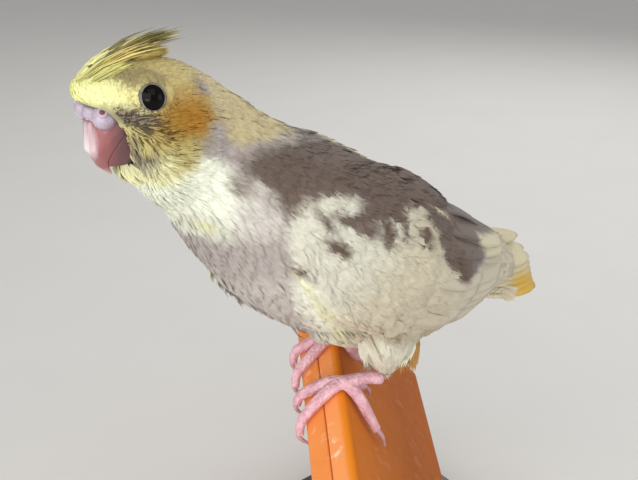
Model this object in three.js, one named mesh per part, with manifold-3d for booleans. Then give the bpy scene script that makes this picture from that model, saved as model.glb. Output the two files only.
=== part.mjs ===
// A young pied cockatiel, life size, perched across a leaning two-layer board.
// Millimetres, +Z up. The bird faces -X and its left side is -Y.
// While it is built, zero is on the board's ridge between the feet. The last lines
// move the group so that its origin is at the middle of the foot of the stand.

import * as THREE from 'three';
import { mergeVertices } from 'three/addons/utils/BufferGeometryUtils.js';
import Module from 'manifold-3d';

const wasm = await Module();
wasm.setup();

// Driving dimensions
const GAP = 0.3; // between pieces that touch
const FINEST = 0.05; // edges shorter than this are closed up
const BODY_SIDES = 32;
const EYE = {
  x: -54.2,
  y: 11.9,
  z: 93.9,
  radius: 3.15,
  lid: 0.7, // radius of the rim of the lids
  opening: 2.85,
  lidOut: 1.7, // the rim's distance from the middle of the eye
  mound: 4.3, // the low mound of flesh under the lids
  moundIn: 1.0,
  forward: -0.25, // the way the eye looks
  upward: 0.22,
};
const NOSTRIL = { radius: 1.0, front: 2.3, side: 1.2, up: 0.4 }; // from the middle of a bulge of the cere
const TOE = { pad: 2.15, root: 1.9, end: 1.35, claw: 0.95, clawTip: 0.25 };
const VANE_THICK = 0.75;

// Stations of the body from the face to the root of the tail. Each holds the middle
// (x, z), the half width, the heights above and below the middle, and the pitch of the
// line of the body there, in degrees below level.
const BODY_STATIONS = [
  { x: -65.4, z: 92.8, w: 3.2, up: 2.0, down: 1.2, pitch: -16 },
  { x: -64.0, z: 92.6, w: 7.2, up: 4.6, down: 2.8, pitch: -18 },
  { x: -60.0, z: 91.0, w: 11.0, up: 9.0, down: 7.0, pitch: -12 },
  { x: -53.4, z: 87.6, w: 15.0, up: 13.8, down: 17.4, pitch: -2 },
  { x: -45.6, z: 83.6, w: 16.2, up: 15.4, down: 17.2, pitch: 20 },
  { x: -38.0, z: 79.2, w: 16.2, up: 14.2, down: 18.2, pitch: 31 },
  { x: -30.8, z: 73.4, w: 17.4, up: 14.0, down: 20.8, pitch: 40 },
  { x: -23.4, z: 67.0, w: 20.2, up: 16.0, down: 23.8, pitch: 44 },
  { x: -14.2, z: 59.0, w: 23.6, up: 19.6, down: 26.4, pitch: 44 },
  { x: -3.0, z: 50.0, w: 25.4, up: 21.2, down: 28.6, pitch: 40 },
  { x: 10.3, z: 41.0, w: 25.4, up: 20.4, down: 28.2, pitch: 36 },
  { x: 24.1, z: 33.2, w: 23.0, up: 17.8, down: 24.6, pitch: 31 },
  { x: 37.5, z: 26.8, w: 19.2, up: 15.8, down: 19.4, pitch: 27 },
  { x: 49.6, z: 21.6, w: 15.0, up: 12.4, down: 14.2, pitch: 22 },
  { x: 59.5, z: 18.2, w: 12.0, up: 11.0, down: 10.2, pitch: 19 },
  { x: 66.6, z: 16.0, w: 11.2, up: 10.2, down: 7.6, pitch: 18 },
  { x: 85.4, z: 10.2, w: 10.0, up: 8.6, down: 4.4, pitch: 17 },
  { x: 106.5, z: 4.0, w: 9.4, up: 7.0, down: 3.0, pitch: 16 },
];
const TORSO_END = 14.6; // where the flesh stops; later stations only carry the feathers' lie
const HEAD_END = 5.0; // stations where the head and the neck stop
const NECK_END = 7.4;

// The upper bill, the lower bill and the cere: middles (x, z), half widths, half heights
const UPPER_BILL = [
  { x: -54.4, z: 87.8, w: 6.6, h: 5.2 },
  { x: -57.6, z: 87.4, w: 6.8, h: 5.0 },
  { x: -60.6, z: 85.2, w: 5.6, h: 4.0 },
  { x: -61.6, z: 81.9, w: 4.1, h: 3.0 },
  { x: -60.5, z: 78.4, w: 2.7, h: 2.0 },
  { x: -58.8, z: 75.6, w: 0.9, h: 0.8 },
];
const LOWER_BILL = [
  { x: -52.4, z: 81.8, w: 4.4, h: 2.8 },
  { x: -55.2, z: 80.2, w: 4.2, h: 2.7 },
  { x: -57.2, z: 78.2, w: 3.1, h: 1.7 },
];
const CERE = { x: -61.3, y: 3.8, z: 89.2, radius: 2.7, bridge: 2.0 };

// The wing lies on the body: each place is a station of the body and an angle round it
const WING = {
  front: 7.15,
  back: 13.0,
  low: [-14, -34, -42, -42, -36, -26, -8],
  high: [36, 58, 68, 74, 77, 78, 78],
  inner: 0.5,
  thick: 2.6,
  rim: 1.0,
};
// Angles in degrees; roll lowers the left edge
const TAIL = {
  root: 13.8, // station of the body
  feathers: 12,
  length: 32.6,
  width: 9.4,
  spread: 4.5,
  roof: 22,
  pitch: 13,
  roll: 34,
  rise: 2,
  droop: 1.2,
  outerShare: { left: 1.1, right: 0.94 }, // length of the outermost feathers against the middle pair
  halfRoot: [7.6, 1.6], // distance from the middle at the root, outermost and middle pair
  lift: [-3.6, 2.6],
};
// The coverts round the tail: how far back, half width, half height
const TAIL_CORE = [
  [0.5, 11.4, 9.4],
  [6, 11.2, 9.2],
  [12, 10.8, 8.4],
  [18, 10.0, 7.0],
  [25, 8.0, 4.2],
];

// The perch: a board of two layers that leans and falls toward its near end
const PERCH = {
  ridge: new THREE.Vector3(0, -9, 0),
  turn: 33, // degrees from the bird's left side toward its front
  slope: 11, // degrees down toward the near end
  lean: 36,
  layer: 7.2,
  breadth: 62,
  corner: 2.4,
  far: -52,
  near: 54,
};
const BOARD = 2 * PERCH.layer + GAP;

const FEET = {
  left: {
    at: 0,
    toes: {
      outer: [[1, 3.5], [3, 9], [6.5, 15.5], [8, 19.5]],
      inner: [[-1.5, 3.5], [-2.5, 9], [-3, 15], [-2, 18]],
      thumb: [[-2, -4], [-4, -7.5], [-5, -10]],
      rear: [[2.5, -4.5], [6, -9], [10, -13.5]],
    },
  },
  right: {
    at: -21,
    toes: {
      outer: [[-1, 3.5], [-1, 9], [-1.5, 15.5], [0, 19]],
      inner: [[1.5, 3.5], [4.5, 9], [8, 15.5], [10, 19.5]],
      thumb: [[2, -4], [3.5, -7.5], [4, -10]],
      rear: [[-2.5, -4.5], [-5, -9], [-7, -13]],
    },
  },
};
const HEEL = { back: 11.5, lift: -1.5, side: 3.0 };

const STAND = { floor: -90, length: 116, width: 88, thick: 8, corner: 10, rod: 4, middle: 12 };

const COLOURS = {
  head: '#d9cf86',
  neck: '#cfc7a0',
  torso: '#bcb0a4',
  wing: '#c9c2ae',
  tail: '#d9c989',
  crest: '#b9b06a',
  bill: '#c98583',
  cere: '#cbb0c4',
  eye: '#0d0b0b',
  foot: '#cf9aa8',
  claw: '#cbb3a4',
  thigh: '#ddd6ba',
  board: '#f08f36',
  boardBack: '#d9782a',
  stand: '#3a3d40',
};

const radians = (degrees) => (degrees * Math.PI) / 180;
const vec = (x, y, z) => new THREE.Vector3(x, y, z);
const mix = (a, b, t) => a + (b - a) * t;

// Closed meshes

// A mesh from points and triangles, turned so that its faces point out
function meshOf(points, faces) {
  let volume = 0;
  for (let f = 0; f < faces.length; f += 3) {
    const [a, b, c] = [points[faces[f]], points[faces[f + 1]], points[faces[f + 2]]];
    volume += a.dot(b.clone().cross(c));
  }
  const outward = volume > 0 ? faces : [...faces].reverse();
  const geometry = new THREE.BufferGeometry();
  const flat = points.flatMap((p) => [p.x, p.y, p.z]);
  geometry.setAttribute('position', new THREE.Float32BufferAttribute(flat, 3));
  geometry.setIndex(outward);
  return geometry;
}

// Rings of points, first to last, with a pole point closing each end
function loft(rings, startPole, endPole) {
  const sides = rings[0].length;
  const points = rings.flat();
  const faces = [];
  for (let r = 0; r + 1 < rings.length; r += 1) {
    for (let s = 0; s < sides; s += 1) {
      const a = r * sides + s;
      const b = r * sides + ((s + 1) % sides);
      faces.push(a, b, a + sides, b, b + sides, a + sides);
    }
  }
  const first = points.push(startPole) - 1;
  const last = points.push(endPole) - 1;
  const end = (rings.length - 1) * sides;
  for (let s = 0; s < sides; s += 1) {
    const next = (s + 1) % sides;
    faces.push(first, next, s);
    faces.push(last, end + s, end + next);
  }
  return meshOf(points, faces);
}

// Solids, joins and cuts

function solidOf(geometry) {
  let bare = geometry.clone();
  bare.deleteAttribute('normal');
  bare.deleteAttribute('uv');
  bare = mergeVertices(bare, 1e-4);
  return new wasm.Manifold(
    new wasm.Mesh({
      numProp: 3,
      vertProperties: new Float32Array(bare.attributes.position.array),
      triVerts: new Uint32Array(bare.index.array),
    }),
  );
}

function fuse(solids) {
  return solids.reduce((sum, next) => sum.add(next));
}

function cut(solid, tools) {
  return tools.reduce((rest, tool) => rest.subtract(tool), solid);
}

function largest(solid) {
  const pieces = solid.decompose();
  return pieces.reduce((best, next) => (next.volume() > best.volume() ? next : best));
}

function geometryOf(solid) {
  const mesh = solid.getMesh();
  const geometry = new THREE.BufferGeometry();
  const positions = new Float32Array(mesh.numVert * 3);
  for (let v = 0; v < mesh.numVert; v += 1) {
    for (let k = 0; k < 3; k += 1) {
      positions[v * 3 + k] = mesh.vertProperties[v * mesh.numProp + k];
    }
  }
  geometry.setAttribute('position', new THREE.BufferAttribute(positions, 3));
  geometry.setIndex(new THREE.BufferAttribute(new Uint32Array(mesh.triVerts), 1));
  return geometry;
}

// The body's own surface

function stationAt(u) {
  const last = BODY_STATIONS.length - 1;
  const clamped = Math.min(Math.max(u, 0), last);
  const i = Math.min(Math.floor(clamped), last - 1);
  const t = clamped - i;
  const at = (k) => BODY_STATIONS[Math.min(Math.max(k, 0), last)];
  const station = {};
  for (const key of ['x', 'z', 'w', 'up', 'down', 'pitch']) {
    const [p, q, r, s] = [at(i - 1)[key], at(i)[key], at(i + 1)[key], at(i + 2)[key]];
    const slopeQ = (r - p) / 2;
    const slopeR = (s - q) / 2;
    const t2 = t * t;
    const t3 = t2 * t;
    const bulk = (2 * t3 - 3 * t2 + 1) * q + (3 * t2 - 2 * t3) * r;
    station[key] = bulk + (t3 - 2 * t2 + t) * slopeQ + (t3 - t2) * slopeR;
  }
  return station;
}

// A point on the body at station u. The angle is 0 at the bird's left side, 90 on the
// back and -90 under the belly, in degrees; lift is the height over the surface.
function bodyPoint(u, degrees, lift = 0) {
  const s = stationAt(u);
  const angle = radians(degrees);
  const upward = Math.sin(angle);
  const height = upward > 0 ? s.up : s.down;
  const up = vec(Math.sin(radians(s.pitch)), 0, Math.cos(radians(s.pitch)));
  const side = -Math.cos(angle) * (s.w + lift);
  const point = vec(s.x, side, s.z);
  return point.addScaledVector(up, upward * (height + lift));
}

function bodyRing(u, lift, sides = BODY_SIDES) {
  const ring = [];
  for (let s = 0; s < sides; s += 1) {
    ring.push(bodyPoint(u, (360 * s) / sides, lift));
  }
  return ring;
}

function bodySolid(fromU, toU, lift = 0, step = 0.5) {
  const rings = [];
  const count = Math.round((toU - fromU) / step);
  for (let k = 0; k <= count; k += 1) {
    rings.push(bodyRing(mix(fromU, toU, k / count), lift));
  }
  const poleOf = (u, back) => {
    const s = stationAt(u);
    const along = vec(Math.cos(radians(s.pitch)), 0, -Math.sin(radians(s.pitch)));
    return vec(s.x, 0, s.z).addScaledVector(along, back);
  };
  return solidOf(loft(rings, poleOf(fromU, -1.2 - lift), poleOf(toU, 2.0 + lift)));
}

// Everything past station u, and half a gap before it, as a large block. Direction 1 is
// toward the tail and -1 toward the face.
function blockFrom(u, direction) {
  const s = stationAt(u);
  const size = 200;
  const block = new THREE.BoxGeometry(size, size, size);
  block.translate((direction * (size - GAP)) / 2, 0, 0);
  block.rotateY(radians(s.pitch));
  block.translate(s.x, 0, s.z);
  return solidOf(block);
}

const END_ROUND = 0.45; // how far a limb's pole stands out, against its radius

// A round tapered limb through points, with a radius at each, closed by rounded ends
function limb(points, radii, sides = 10, steps = 12, flat = 1) {
  const curve = new THREE.CatmullRomCurve3(points, false, 'centripetal');
  const rings = [];
  let side = null;
  for (let k = 0; k <= steps; k += 1) {
    const t = k / steps;
    const centre = curve.getPoint(t);
    const along = curve.getTangent(t).normalize();
    if (side === null) {
      side = Math.abs(along.z) < 0.9 ? vec(0, 0, 1).cross(along) : vec(0, 1, 0).cross(along);
    }
    side.addScaledVector(along, -side.dot(along)).normalize();
    const up = along.clone().cross(side);
    const place = t * (radii.length - 1);
    const i = Math.min(Math.floor(place), radii.length - 2);
    const radius = mix(radii[i], radii[i + 1], place - i);
    const ring = [];
    for (let s = 0; s < sides; s += 1) {
      const angle = (2 * Math.PI * s) / sides;
      const point = centre.clone().addScaledVector(side, Math.cos(angle) * radius);
      ring.push(point.addScaledVector(up, Math.sin(angle) * radius * flat));
    }
    rings.push(ring);
  }
  const startPole = curve.getPoint(0).addScaledVector(curve.getTangent(0), -radii[0] * END_ROUND);
  const endRadius = radii[radii.length - 1];
  const endPole = curve.getPoint(1).addScaledVector(curve.getTangent(1), endRadius * END_ROUND);
  return loft(rings, startPole, endPole);
}

// The perch's own surface

// The ridge at s, with the ways along the board, over its narrow top face toward the
// front, and down its broad face
function perchFrame(s) {
  const plan = radians(PERCH.turn);
  const slope = radians(PERCH.slope);
  const lean = radians(PERCH.lean);
  const level = vec(-Math.sin(plan), -Math.cos(plan), 0);
  const front = vec(-Math.cos(plan), Math.sin(plan), 0);
  const along = level.multiplyScalar(Math.cos(slope)).add(vec(0, 0, -Math.sin(slope)));
  const over = front.clone().cross(along);
  const across = front.clone().multiplyScalar(Math.cos(lean)).addScaledVector(over, -Math.sin(lean));
  const down = front.clone().multiplyScalar(-Math.sin(lean)).addScaledVector(over, -Math.cos(lean));
  const point = PERCH.ridge.clone().addScaledVector(along, s);
  return { point, along, across, down };
}

// A point over the board at s along it. The run goes round the board's section from the
// middle of the ridge, over the narrow face when positive and down the back when not.
function onPerch(s, run, lift) {
  const { point, across, down } = perchFrame(s);
  const round = PERCH.corner + lift;
  const quarter = (round * Math.PI) / 2;
  const flat = BOARD - 2 * PERCH.corner;
  const d = run + quarter / 2;
  let a = -lift;
  let b = PERCH.corner - d;
  if (d >= 0 && d < quarter) {
    a = PERCH.corner - Math.cos(d / round) * round;
    b = PERCH.corner - Math.sin(d / round) * round;
  } else if (d >= quarter && d < quarter + flat) {
    a = PERCH.corner + d - quarter;
    b = -lift;
  } else if (d >= quarter + flat) {
    const past = d - quarter - flat;
    const turn = Math.min(past / round, Math.PI / 2);
    a = BOARD - PERCH.corner + Math.sin(turn) * round;
    b = PERCH.corner - Math.cos(turn) * round + Math.max(past - quarter, 0);
  }
  return point.addScaledVector(across, a).addScaledVector(down, b);
}

function boardLayer(fromThick, toThick, grow = 0) {
  const steps = 8;
  const centreThick = (fromThick + toThick) / 2;
  const corners = [
    [fromThick - grow, -grow, 1, 1],
    [toThick + grow, -grow, -1, 1],
    [toThick + grow, PERCH.breadth + grow, -1, -1],
    [fromThick - grow, PERCH.breadth + grow, 1, -1],
  ];
  const ringAt = (s) => {
    const { point, across, down } = perchFrame(s);
    return corners.flatMap(([a, b, inA, inB], index) => {
      const outer = a < 1 || a > BOARD - 1;
      const round = outer ? PERCH.corner : 0.5;
      return [0, 30, 60, 90].map((degrees) => {
        const angle = radians(180 + index * 90 + degrees);
        const u = a + inA * round + Math.cos(angle) * round;
        const v = b + inB * round + Math.sin(angle) * round;
        return point.clone().addScaledVector(across, u).addScaledVector(down, v);
      });
    });
  };
  const rings = [];
  for (let k = 0; k <= steps; k += 1) {
    rings.push(ringAt(mix(PERCH.far - grow, PERCH.near + grow, k / steps)));
  }
  const middleAt = (s) => {
    const { point, across, down } = perchFrame(s);
    return point.addScaledVector(across, centreThick).addScaledVector(down, PERCH.breadth / 2);
  };
  return solidOf(loft(rings, middleAt(PERCH.far - grow), middleAt(PERCH.near + grow)));
}

// A vane: a thin tapered plate along a path of frames, split alike on both faces
const VANE_OUTLINE = [
  [0, 0.55],
  [0.3, 0.95],
  [0.66, 1],
  [0.9, 0.68],
];

// A vane turned about its own length by a small angle laps over the next one.
function vane(frameAt, width, tilt = 0, thick = VANE_THICK) {
  const points = [];
  for (const [t, share] of VANE_OUTLINE) {
    const frame = frameAt(t);
    const along = frame.side.clone().cross(frame.normal);
    const point = frame.point;
    const side = frame.side.clone().applyAxisAngle(along, radians(tilt));
    const normal = frame.normal.clone().applyAxisAngle(along, radians(tilt));
    const half = (width * share) / 2;
    for (const [edge, face] of [[-1, 1], [1, 1], [1, -1], [-1, -1]]) {
      const corner = point.clone().addScaledVector(side, edge * half);
      points.push(corner.addScaledVector(normal, (face * thick) / 2));
    }
  }
  const faces = [0, 3, 2, 0, 2, 1];
  for (let r = 0; r + 1 < VANE_OUTLINE.length; r += 1) {
    const i = r * 4;
    const j = i + 4;
    faces.push(i, i + 1, j, i + 1, j + 1, j); // upper face
    faces.push(i + 3, j + 3, i + 2, i + 2, j + 3, j + 2); // lower face
    faces.push(i + 1, i + 2, j + 1, i + 2, j + 2, j + 1);
    faces.push(i + 3, i, j + 3, i, j, j + 3);
  }
  const tip = points.push(frameAt(1).point) - 1;
  const last = (VANE_OUTLINE.length - 1) * 4;
  faces.push(last, last + 1, tip, last + 1, last + 2, tip, last + 2, last + 3, tip, last + 3, last, tip);
  return solidOf(meshOf(points, faces));
}

// The frames of a vane that lies on the body from one place to another. A place is
// [station, angle, lift]; mirror is -1 on the right side.
function lieOnBody(root, bend, tip, mirror) {
  const placeAt = (t) => {
    const s = 1 - t;
    return root.map((value, k) => s * s * value + 2 * t * s * bend[k] + t * t * tip[k]);
  };
  const at = (t) => bodyPoint(...placeAt(t));
  const normalAt = (t) => {
    const [u, angle, lift] = placeAt(t);
    return bodyPoint(u, angle, lift + 1).sub(bodyPoint(u, angle, lift)).normalize();
  };
  return (t) => {
    const point = at(t);
    const along = at(Math.min(t + 0.02, 1)).sub(at(Math.max(t - 0.02, 0))).normalize();
    const normal = normalAt(t);
    const side = along.clone().cross(normal).normalize();
    if (mirror < 0) {
      for (const v of [point, side, normal]) {
        v.y = -v.y;
      }
    }
    return { point, side, normal };
  };
}

// Materials and meshes

const group = new THREE.Group();

function material(colour, roughness = 0.8, metalness = 0) {
  return new THREE.MeshStandardMaterial({ color: colour, roughness, metalness });
}

function addNode(name, solid, look) {
  const mesh = new THREE.Mesh(geometryOf(largest(solid.simplify(FINEST))), look);
  mesh.name = name;
  group.add(mesh);
  return solid;
}

const SIDES = [['left', 1], ['right', -1]];

// Swap the two sides of a solid
function mirrored(solid) {
  return solid.mirror([0, 1, 0]);
}

function ball(x, y, z, radius, detail = 14) {
  const sphere = new THREE.SphereGeometry(radius, detail, Math.round(detail * 0.7));
  sphere.translate(x, y, z);
  return solidOf(sphere);
}

// A short closed body of oval sections in the middle plane
function ovals(stations, grow = 0, sides = 14, start = 0.8, end = 0.6) {
  const rings = stations.map((station, i) => {
    const before = stations[Math.max(i - 1, 0)];
    const after = stations[Math.min(i + 1, stations.length - 1)];
    const along = vec(after.x - before.x, 0, after.z - before.z).normalize();
    const up = vec(0, 1, 0).cross(along);
    const ring = [];
    for (let s = 0; s < sides; s += 1) {
      const angle = (2 * Math.PI * s) / sides;
      const point = vec(station.x, Math.cos(angle) * (station.w + grow), station.z);
      ring.push(point.addScaledVector(up, Math.sin(angle) * (station.h + grow)));
    }
    return ring;
  });
  const first = stations[0];
  const second = stations[1];
  const last = stations[stations.length - 1];
  const beforeLast = stations[stations.length - 2];
  const startWay = vec(first.x - second.x, 0, first.z - second.z).normalize();
  const endWay = vec(last.x - beforeLast.x, 0, last.z - beforeLast.z).normalize();
  const startPole = vec(first.x, 0, first.z).addScaledVector(startWay, start + grow);
  const endPole = vec(last.x, 0, last.z).addScaledVector(endWay, end + grow);
  return solidOf(loft(rings, startPole, endPole));
}

// The face: bill, cere, eyes

function cereSolid(grow = 0) {
  const bulges = [-1, 1].map((side) => ball(CERE.x, side * CERE.y, CERE.z, CERE.radius + grow, 9));
  const arch = [
    vec(CERE.x + 0.4, -CERE.y, CERE.z),
    vec(CERE.x - 0.9, 0, CERE.z + 0.3),
    vec(CERE.x + 0.4, CERE.y, CERE.z),
  ];
  const bridge = limb(arch, [CERE.bridge + grow, CERE.bridge + grow], 8, 4);
  return fuse([...bulges, solidOf(bridge)]);
}

function nostrilHole(side) {
  const { radius, front, side: apart, up } = NOSTRIL;
  return ball(CERE.x - front, side * (CERE.y + apart), CERE.z + up, radius, 8);
}

const upperBill = ovals(UPPER_BILL);
const lowerBill = ovals(LOWER_BILL, 0, 14, 0.8, 1.0).subtract(ovals(UPPER_BILL, GAP));
const nostrils = fuse([-1, 1].map(nostrilHole));
const cere = cereSolid().subtract(ovals(UPPER_BILL, GAP)).subtract(nostrils);

function lidRing(side) {
  const ring = new THREE.TorusGeometry(EYE.opening, EYE.lid, 5, 14);
  const outward = vec(EYE.forward, -side, EYE.upward).normalize();
  const turn = new THREE.Quaternion().setFromUnitVectors(vec(0, 0, 1), outward);
  ring.applyQuaternion(turn);
  const middle = vec(EYE.x, -side * EYE.y, EYE.z).addScaledVector(outward, EYE.lidOut);
  ring.translate(middle.x, middle.y, middle.z);
  const under = vec(EYE.x, -side * EYE.y, EYE.z).addScaledVector(outward, -EYE.moundIn);
  const mound = ball(under.x, under.y, under.z, EYE.mound, 15);
  return solidOf(ring).add(mound);
}

addNode('bill_upper', upperBill, material(COLOURS.bill, 0.4));
addNode('bill_lower', lowerBill, material(COLOURS.bill, 0.45));
addNode('cere', cere, material(COLOURS.cere, 0.6));
for (const [name, side] of SIDES) {
  addNode(`eye_${name}`, ball(EYE.x, -side * EYE.y, EYE.z, EYE.radius, 14), material(COLOURS.eye, 0.1));
}

// Head, neck and torso: one body, parted

const wholeBody = bodySolid(0, TORSO_END);
const sockets = [-1, 1].map((side) => ball(EYE.x, side * EYE.y, EYE.z, EYE.radius + GAP, 12));
const face = [ovals(UPPER_BILL, GAP), ovals(LOWER_BILL, GAP, 14, 0.8, 1.0), cereSolid(GAP), ...sockets];
const headCore = wholeBody.subtract(blockFrom(HEAD_END, 1));
const headSolid = cut(fuse([headCore, lidRing(1), lidRing(-1)]), face);
const neckSolid = wholeBody.subtract(blockFrom(HEAD_END, -1)).subtract(blockFrom(NECK_END, 1));
const torsoSolid = wholeBody.subtract(blockFrom(NECK_END, -1));
addNode('head', headSolid, material(COLOURS.head));
addNode('neck', neckSolid, material(COLOURS.neck));

// Legs and feet on the perch

function footPlace(foot) {
  return onPerch(foot.at, 0, TOE.pad + GAP);
}

function heelPlace(name) {
  const outward = name === 'left' ? -1 : 1;
  const place = footPlace(FEET[name]);
  return vec(place.x + HEEL.back, place.y + outward * HEEL.side, place.z + HEEL.lift);
}

function thighSolid(name, grow = 0) {
  const heel = heelPlace(name);
  const outward = name === 'left' ? -1 : 1;
  const points = [
    vec(11, outward * 12, 26),
    vec(mix(12, heel.x, 0.5), outward * 12.5, 13),
    vec(heel.x + 1.5, heel.y, heel.z + 5),
    vec(heel.x + 0.8, heel.y, heel.z + 2.2),
  ];
  return solidOf(limb(points, [9.5 + grow, 7.6 + grow, 4.6 + grow, 2.4 + grow], 12, 7));
}

function toeSolid(foot, places, grow = 0) {
  const start = footPlace(foot);
  const points = [start, ...places.map(([s, run]) => onPerch(foot.at + s, run, TOE.root + GAP + 0.15))];
  return solidOf(limb(points, [TOE.root + grow, TOE.root + grow, TOE.end + grow], 7, 7));
}

function clawSolid(foot, places, grow = 0) {
  const [s, run] = places[places.length - 1];
  const [s0, run0] = places[places.length - 2];
  const way = Math.sign(run);
  const stepS = (s - s0) * 0.25;
  const points = [
    onPerch(foot.at + s, run, TOE.root + GAP + 0.35),
    onPerch(foot.at + s + stepS, run + way * 2.4, TOE.root + GAP + 0.5),
    onPerch(foot.at + s + stepS * 2, run + way * 4.4, TOE.claw + GAP + 0.2),
  ];
  return solidOf(limb(points, [TOE.claw + grow, TOE.claw * 0.75 + grow, TOE.clawTip + grow], 6, 4));
}

const thighs = {};
for (const [name] of SIDES) {
  const foot = FEET[name];
  const toes = Object.entries(foot.toes);
  thighs[name] = thighSolid(name).subtract(torsoGrown());
  const start = footPlace(foot);
  const heel = heelPlace(name);
  const shank = [heel, start.clone().lerp(heel, 0.5).add(vec(0, 0, 0.6)), start];
  const tarsus = limb(shank, [2.1, 1.8, 2.1], 9, 5);
  const shankClear = limb(shank, [2.1 + GAP, 1.8 + GAP, 2.1 + GAP], 9, 5);
  const claws = toes.map(([toe, places]) => [toe, clawSolid(foot, places), clawSolid(foot, places, GAP)]);
  const pad = ball(start.x, start.y, start.z, TOE.pad, 11);
  let footSolid = fuse([pad, solidOf(tarsus), ...toes.map(([, places]) => toeSolid(foot, places))]);
  footSolid = cut(footSolid, claws.map(([, , grown]) => grown));
  addNode(`foot_${name}`, footSolid, material(COLOURS.foot, 0.6));
  for (const [toe, solid] of claws) {
    addNode(`claw_${name}_${toe}`, solid, material(COLOURS.claw, 0.4));
  }
  thighs[name] = thighs[name].subtract(solidOf(shankClear));
  addNode(`thigh_${name}`, thighs[name], material(COLOURS.thigh));
}

function torsoGrown() {
  return bodySolid(0, TORSO_END, GAP);
}

addNode('torso', torsoSolid, material(COLOURS.torso));

// Wings

function wingEdge(list, u) {
  const place = ((u - WING.front) / (WING.back - WING.front)) * (list.length - 1);
  const i = Math.min(Math.max(Math.floor(place), 0), list.length - 2);
  return mix(list[i], list[i + 1], place - i);
}

function wingCore() {
  const rows = 9;
  const columns = 8;
  const outer = [];
  const inner = [];
  for (let r = 0; r <= rows; r += 1) {
    const u = mix(WING.front, WING.back, r / rows);
    const endShare = Math.sin((Math.PI * r) / rows);
    for (let c = 0; c <= columns; c += 1) {
      const angle = mix(wingEdge(WING.low, u), wingEdge(WING.high, u), c / columns);
      const edgeShare = Math.sin((Math.PI * c) / columns);
      const bulge = Math.min(1, 1.6 * edgeShare) * Math.min(1, 1.5 * endShare);
      outer.push(bodyPoint(u, angle, WING.inner + mix(WING.rim, WING.thick, bulge)));
      inner.push(bodyPoint(u, angle, WING.inner));
    }
  }
  const width = columns + 1;
  const offset = outer.length;
  const faces = [];
  for (let r = 0; r < rows; r += 1) {
    for (let c = 0; c < columns; c += 1) {
      const a = r * width + c;
      const b = a + width;
      faces.push(a, a + 1, b, a + 1, b + 1, b);
      faces.push(offset + a, offset + b, offset + a + 1, offset + a + 1, offset + b, offset + b + 1);
    }
  }
  const upTo = (count, place) => Array.from({ length: count }, (_, k) => place(k));
  const rim = [
    ...upTo(columns, (c) => c),
    ...upTo(rows, (r) => r * width + columns),
    ...upTo(columns, (c) => rows * width + columns - c),
    ...upTo(rows, (r) => (rows - r) * width),
  ];
  rim.forEach((a, i) => {
    const b = rim[(i + 1) % rim.length];
    faces.push(a, offset + a, b, b, offset + a, offset + b);
  });
  return solidOf(meshOf([...outer, ...inner], faces));
}

// Tiers of vanes, from the lowest: how many, and for the first and the last vane the
// root, the bend and the tip as [station, angle, lift], and the widths
const TIERS = [
  {
    count: 8,
    first: { root: [10.6, -30, 1.8], bend: [12.2, -34, 1.9], tip: [13.5, -26, 1.7], width: 10.5 },
    last: { root: [11.6, 46, 1.8], bend: [13.6, 58, 1.9], tip: [14.35, 68, 2.2], width: 8.6 },
    tilt: 8,
  },
  {
    count: 3,
    first: { root: [10.8, 34, 2.2], bend: [12.4, 42, 3.6], tip: [13.7, 48, 3.6], width: 10 },
    last: { root: [10.6, 62, 2.2], bend: [12.6, 68, 3.6], tip: [14.0, 72, 3.2], width: 9 },
    tilt: 8,
  },
  {
    count: 7,
    first: { root: [9.6, -28, 1.8], bend: [10.8, -33, 3.6], tip: [12.1, -33, 3.4], width: 11.5 },
    last: { root: [9.4, 56, 1.8], bend: [10.8, 62, 3.8], tip: [12.2, 66, 3.7], width: 11 },
    tilt: 8,
  },
  {
    count: 6,
    first: { root: [8.3, -22, 1.8], bend: [9.3, -28, 3.6], tip: [10.4, -30, 4.8], width: 11.5 },
    last: { root: [8.3, 46, 1.8], bend: [9.4, 54, 3.8], tip: [10.6, 60, 4.2], width: 11 },
    tilt: 8,
  },
];

function wingVanes() {
  return TIERS.flatMap(({ count, first, last, tilt }) =>
    Array.from({ length: count }, (_, k) => {
      const share = k / (count - 1);
      const between = (key) => first[key].map((value, i) => mix(value, last[key][i], share));
      const frames = lieOnBody(between('root'), between('bend'), between('tip'), 1);
      return vane(frames, mix(first.width, last.width, share), tilt);
    }),
  );
}

const wing = fuse([wingCore(), ...wingVanes()]);
const wingClear = (name, solid) => solid.subtract(thighSolid(name, GAP)).subtract(tailGrown());
addNode('wing_left', wingClear('left', wing), material(COLOURS.wing));
addNode('wing_right', wingClear('right', mirrored(wing)), material(COLOURS.wing));

// Tail: pairs of vanes from the outermost, the lowest, to the middle pair on top

// The middle of the tail's root, and its ways back, up and across, rolled a little so
// that its left edge hangs lower
function tailFrame() {
  const root = stationAt(TAIL.root);
  const pitch = radians(TAIL.pitch);
  const start = vec(root.x, 0, root.z + TAIL.rise);
  const along = vec(Math.cos(pitch), 0, -Math.sin(pitch));
  const up = vec(Math.sin(pitch), 0, Math.cos(pitch)).applyAxisAngle(along, radians(TAIL.roll));
  const across = vec(0, 1, 0).applyAxisAngle(along, radians(TAIL.roll));
  return { start, along, up, across };
}

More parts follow.
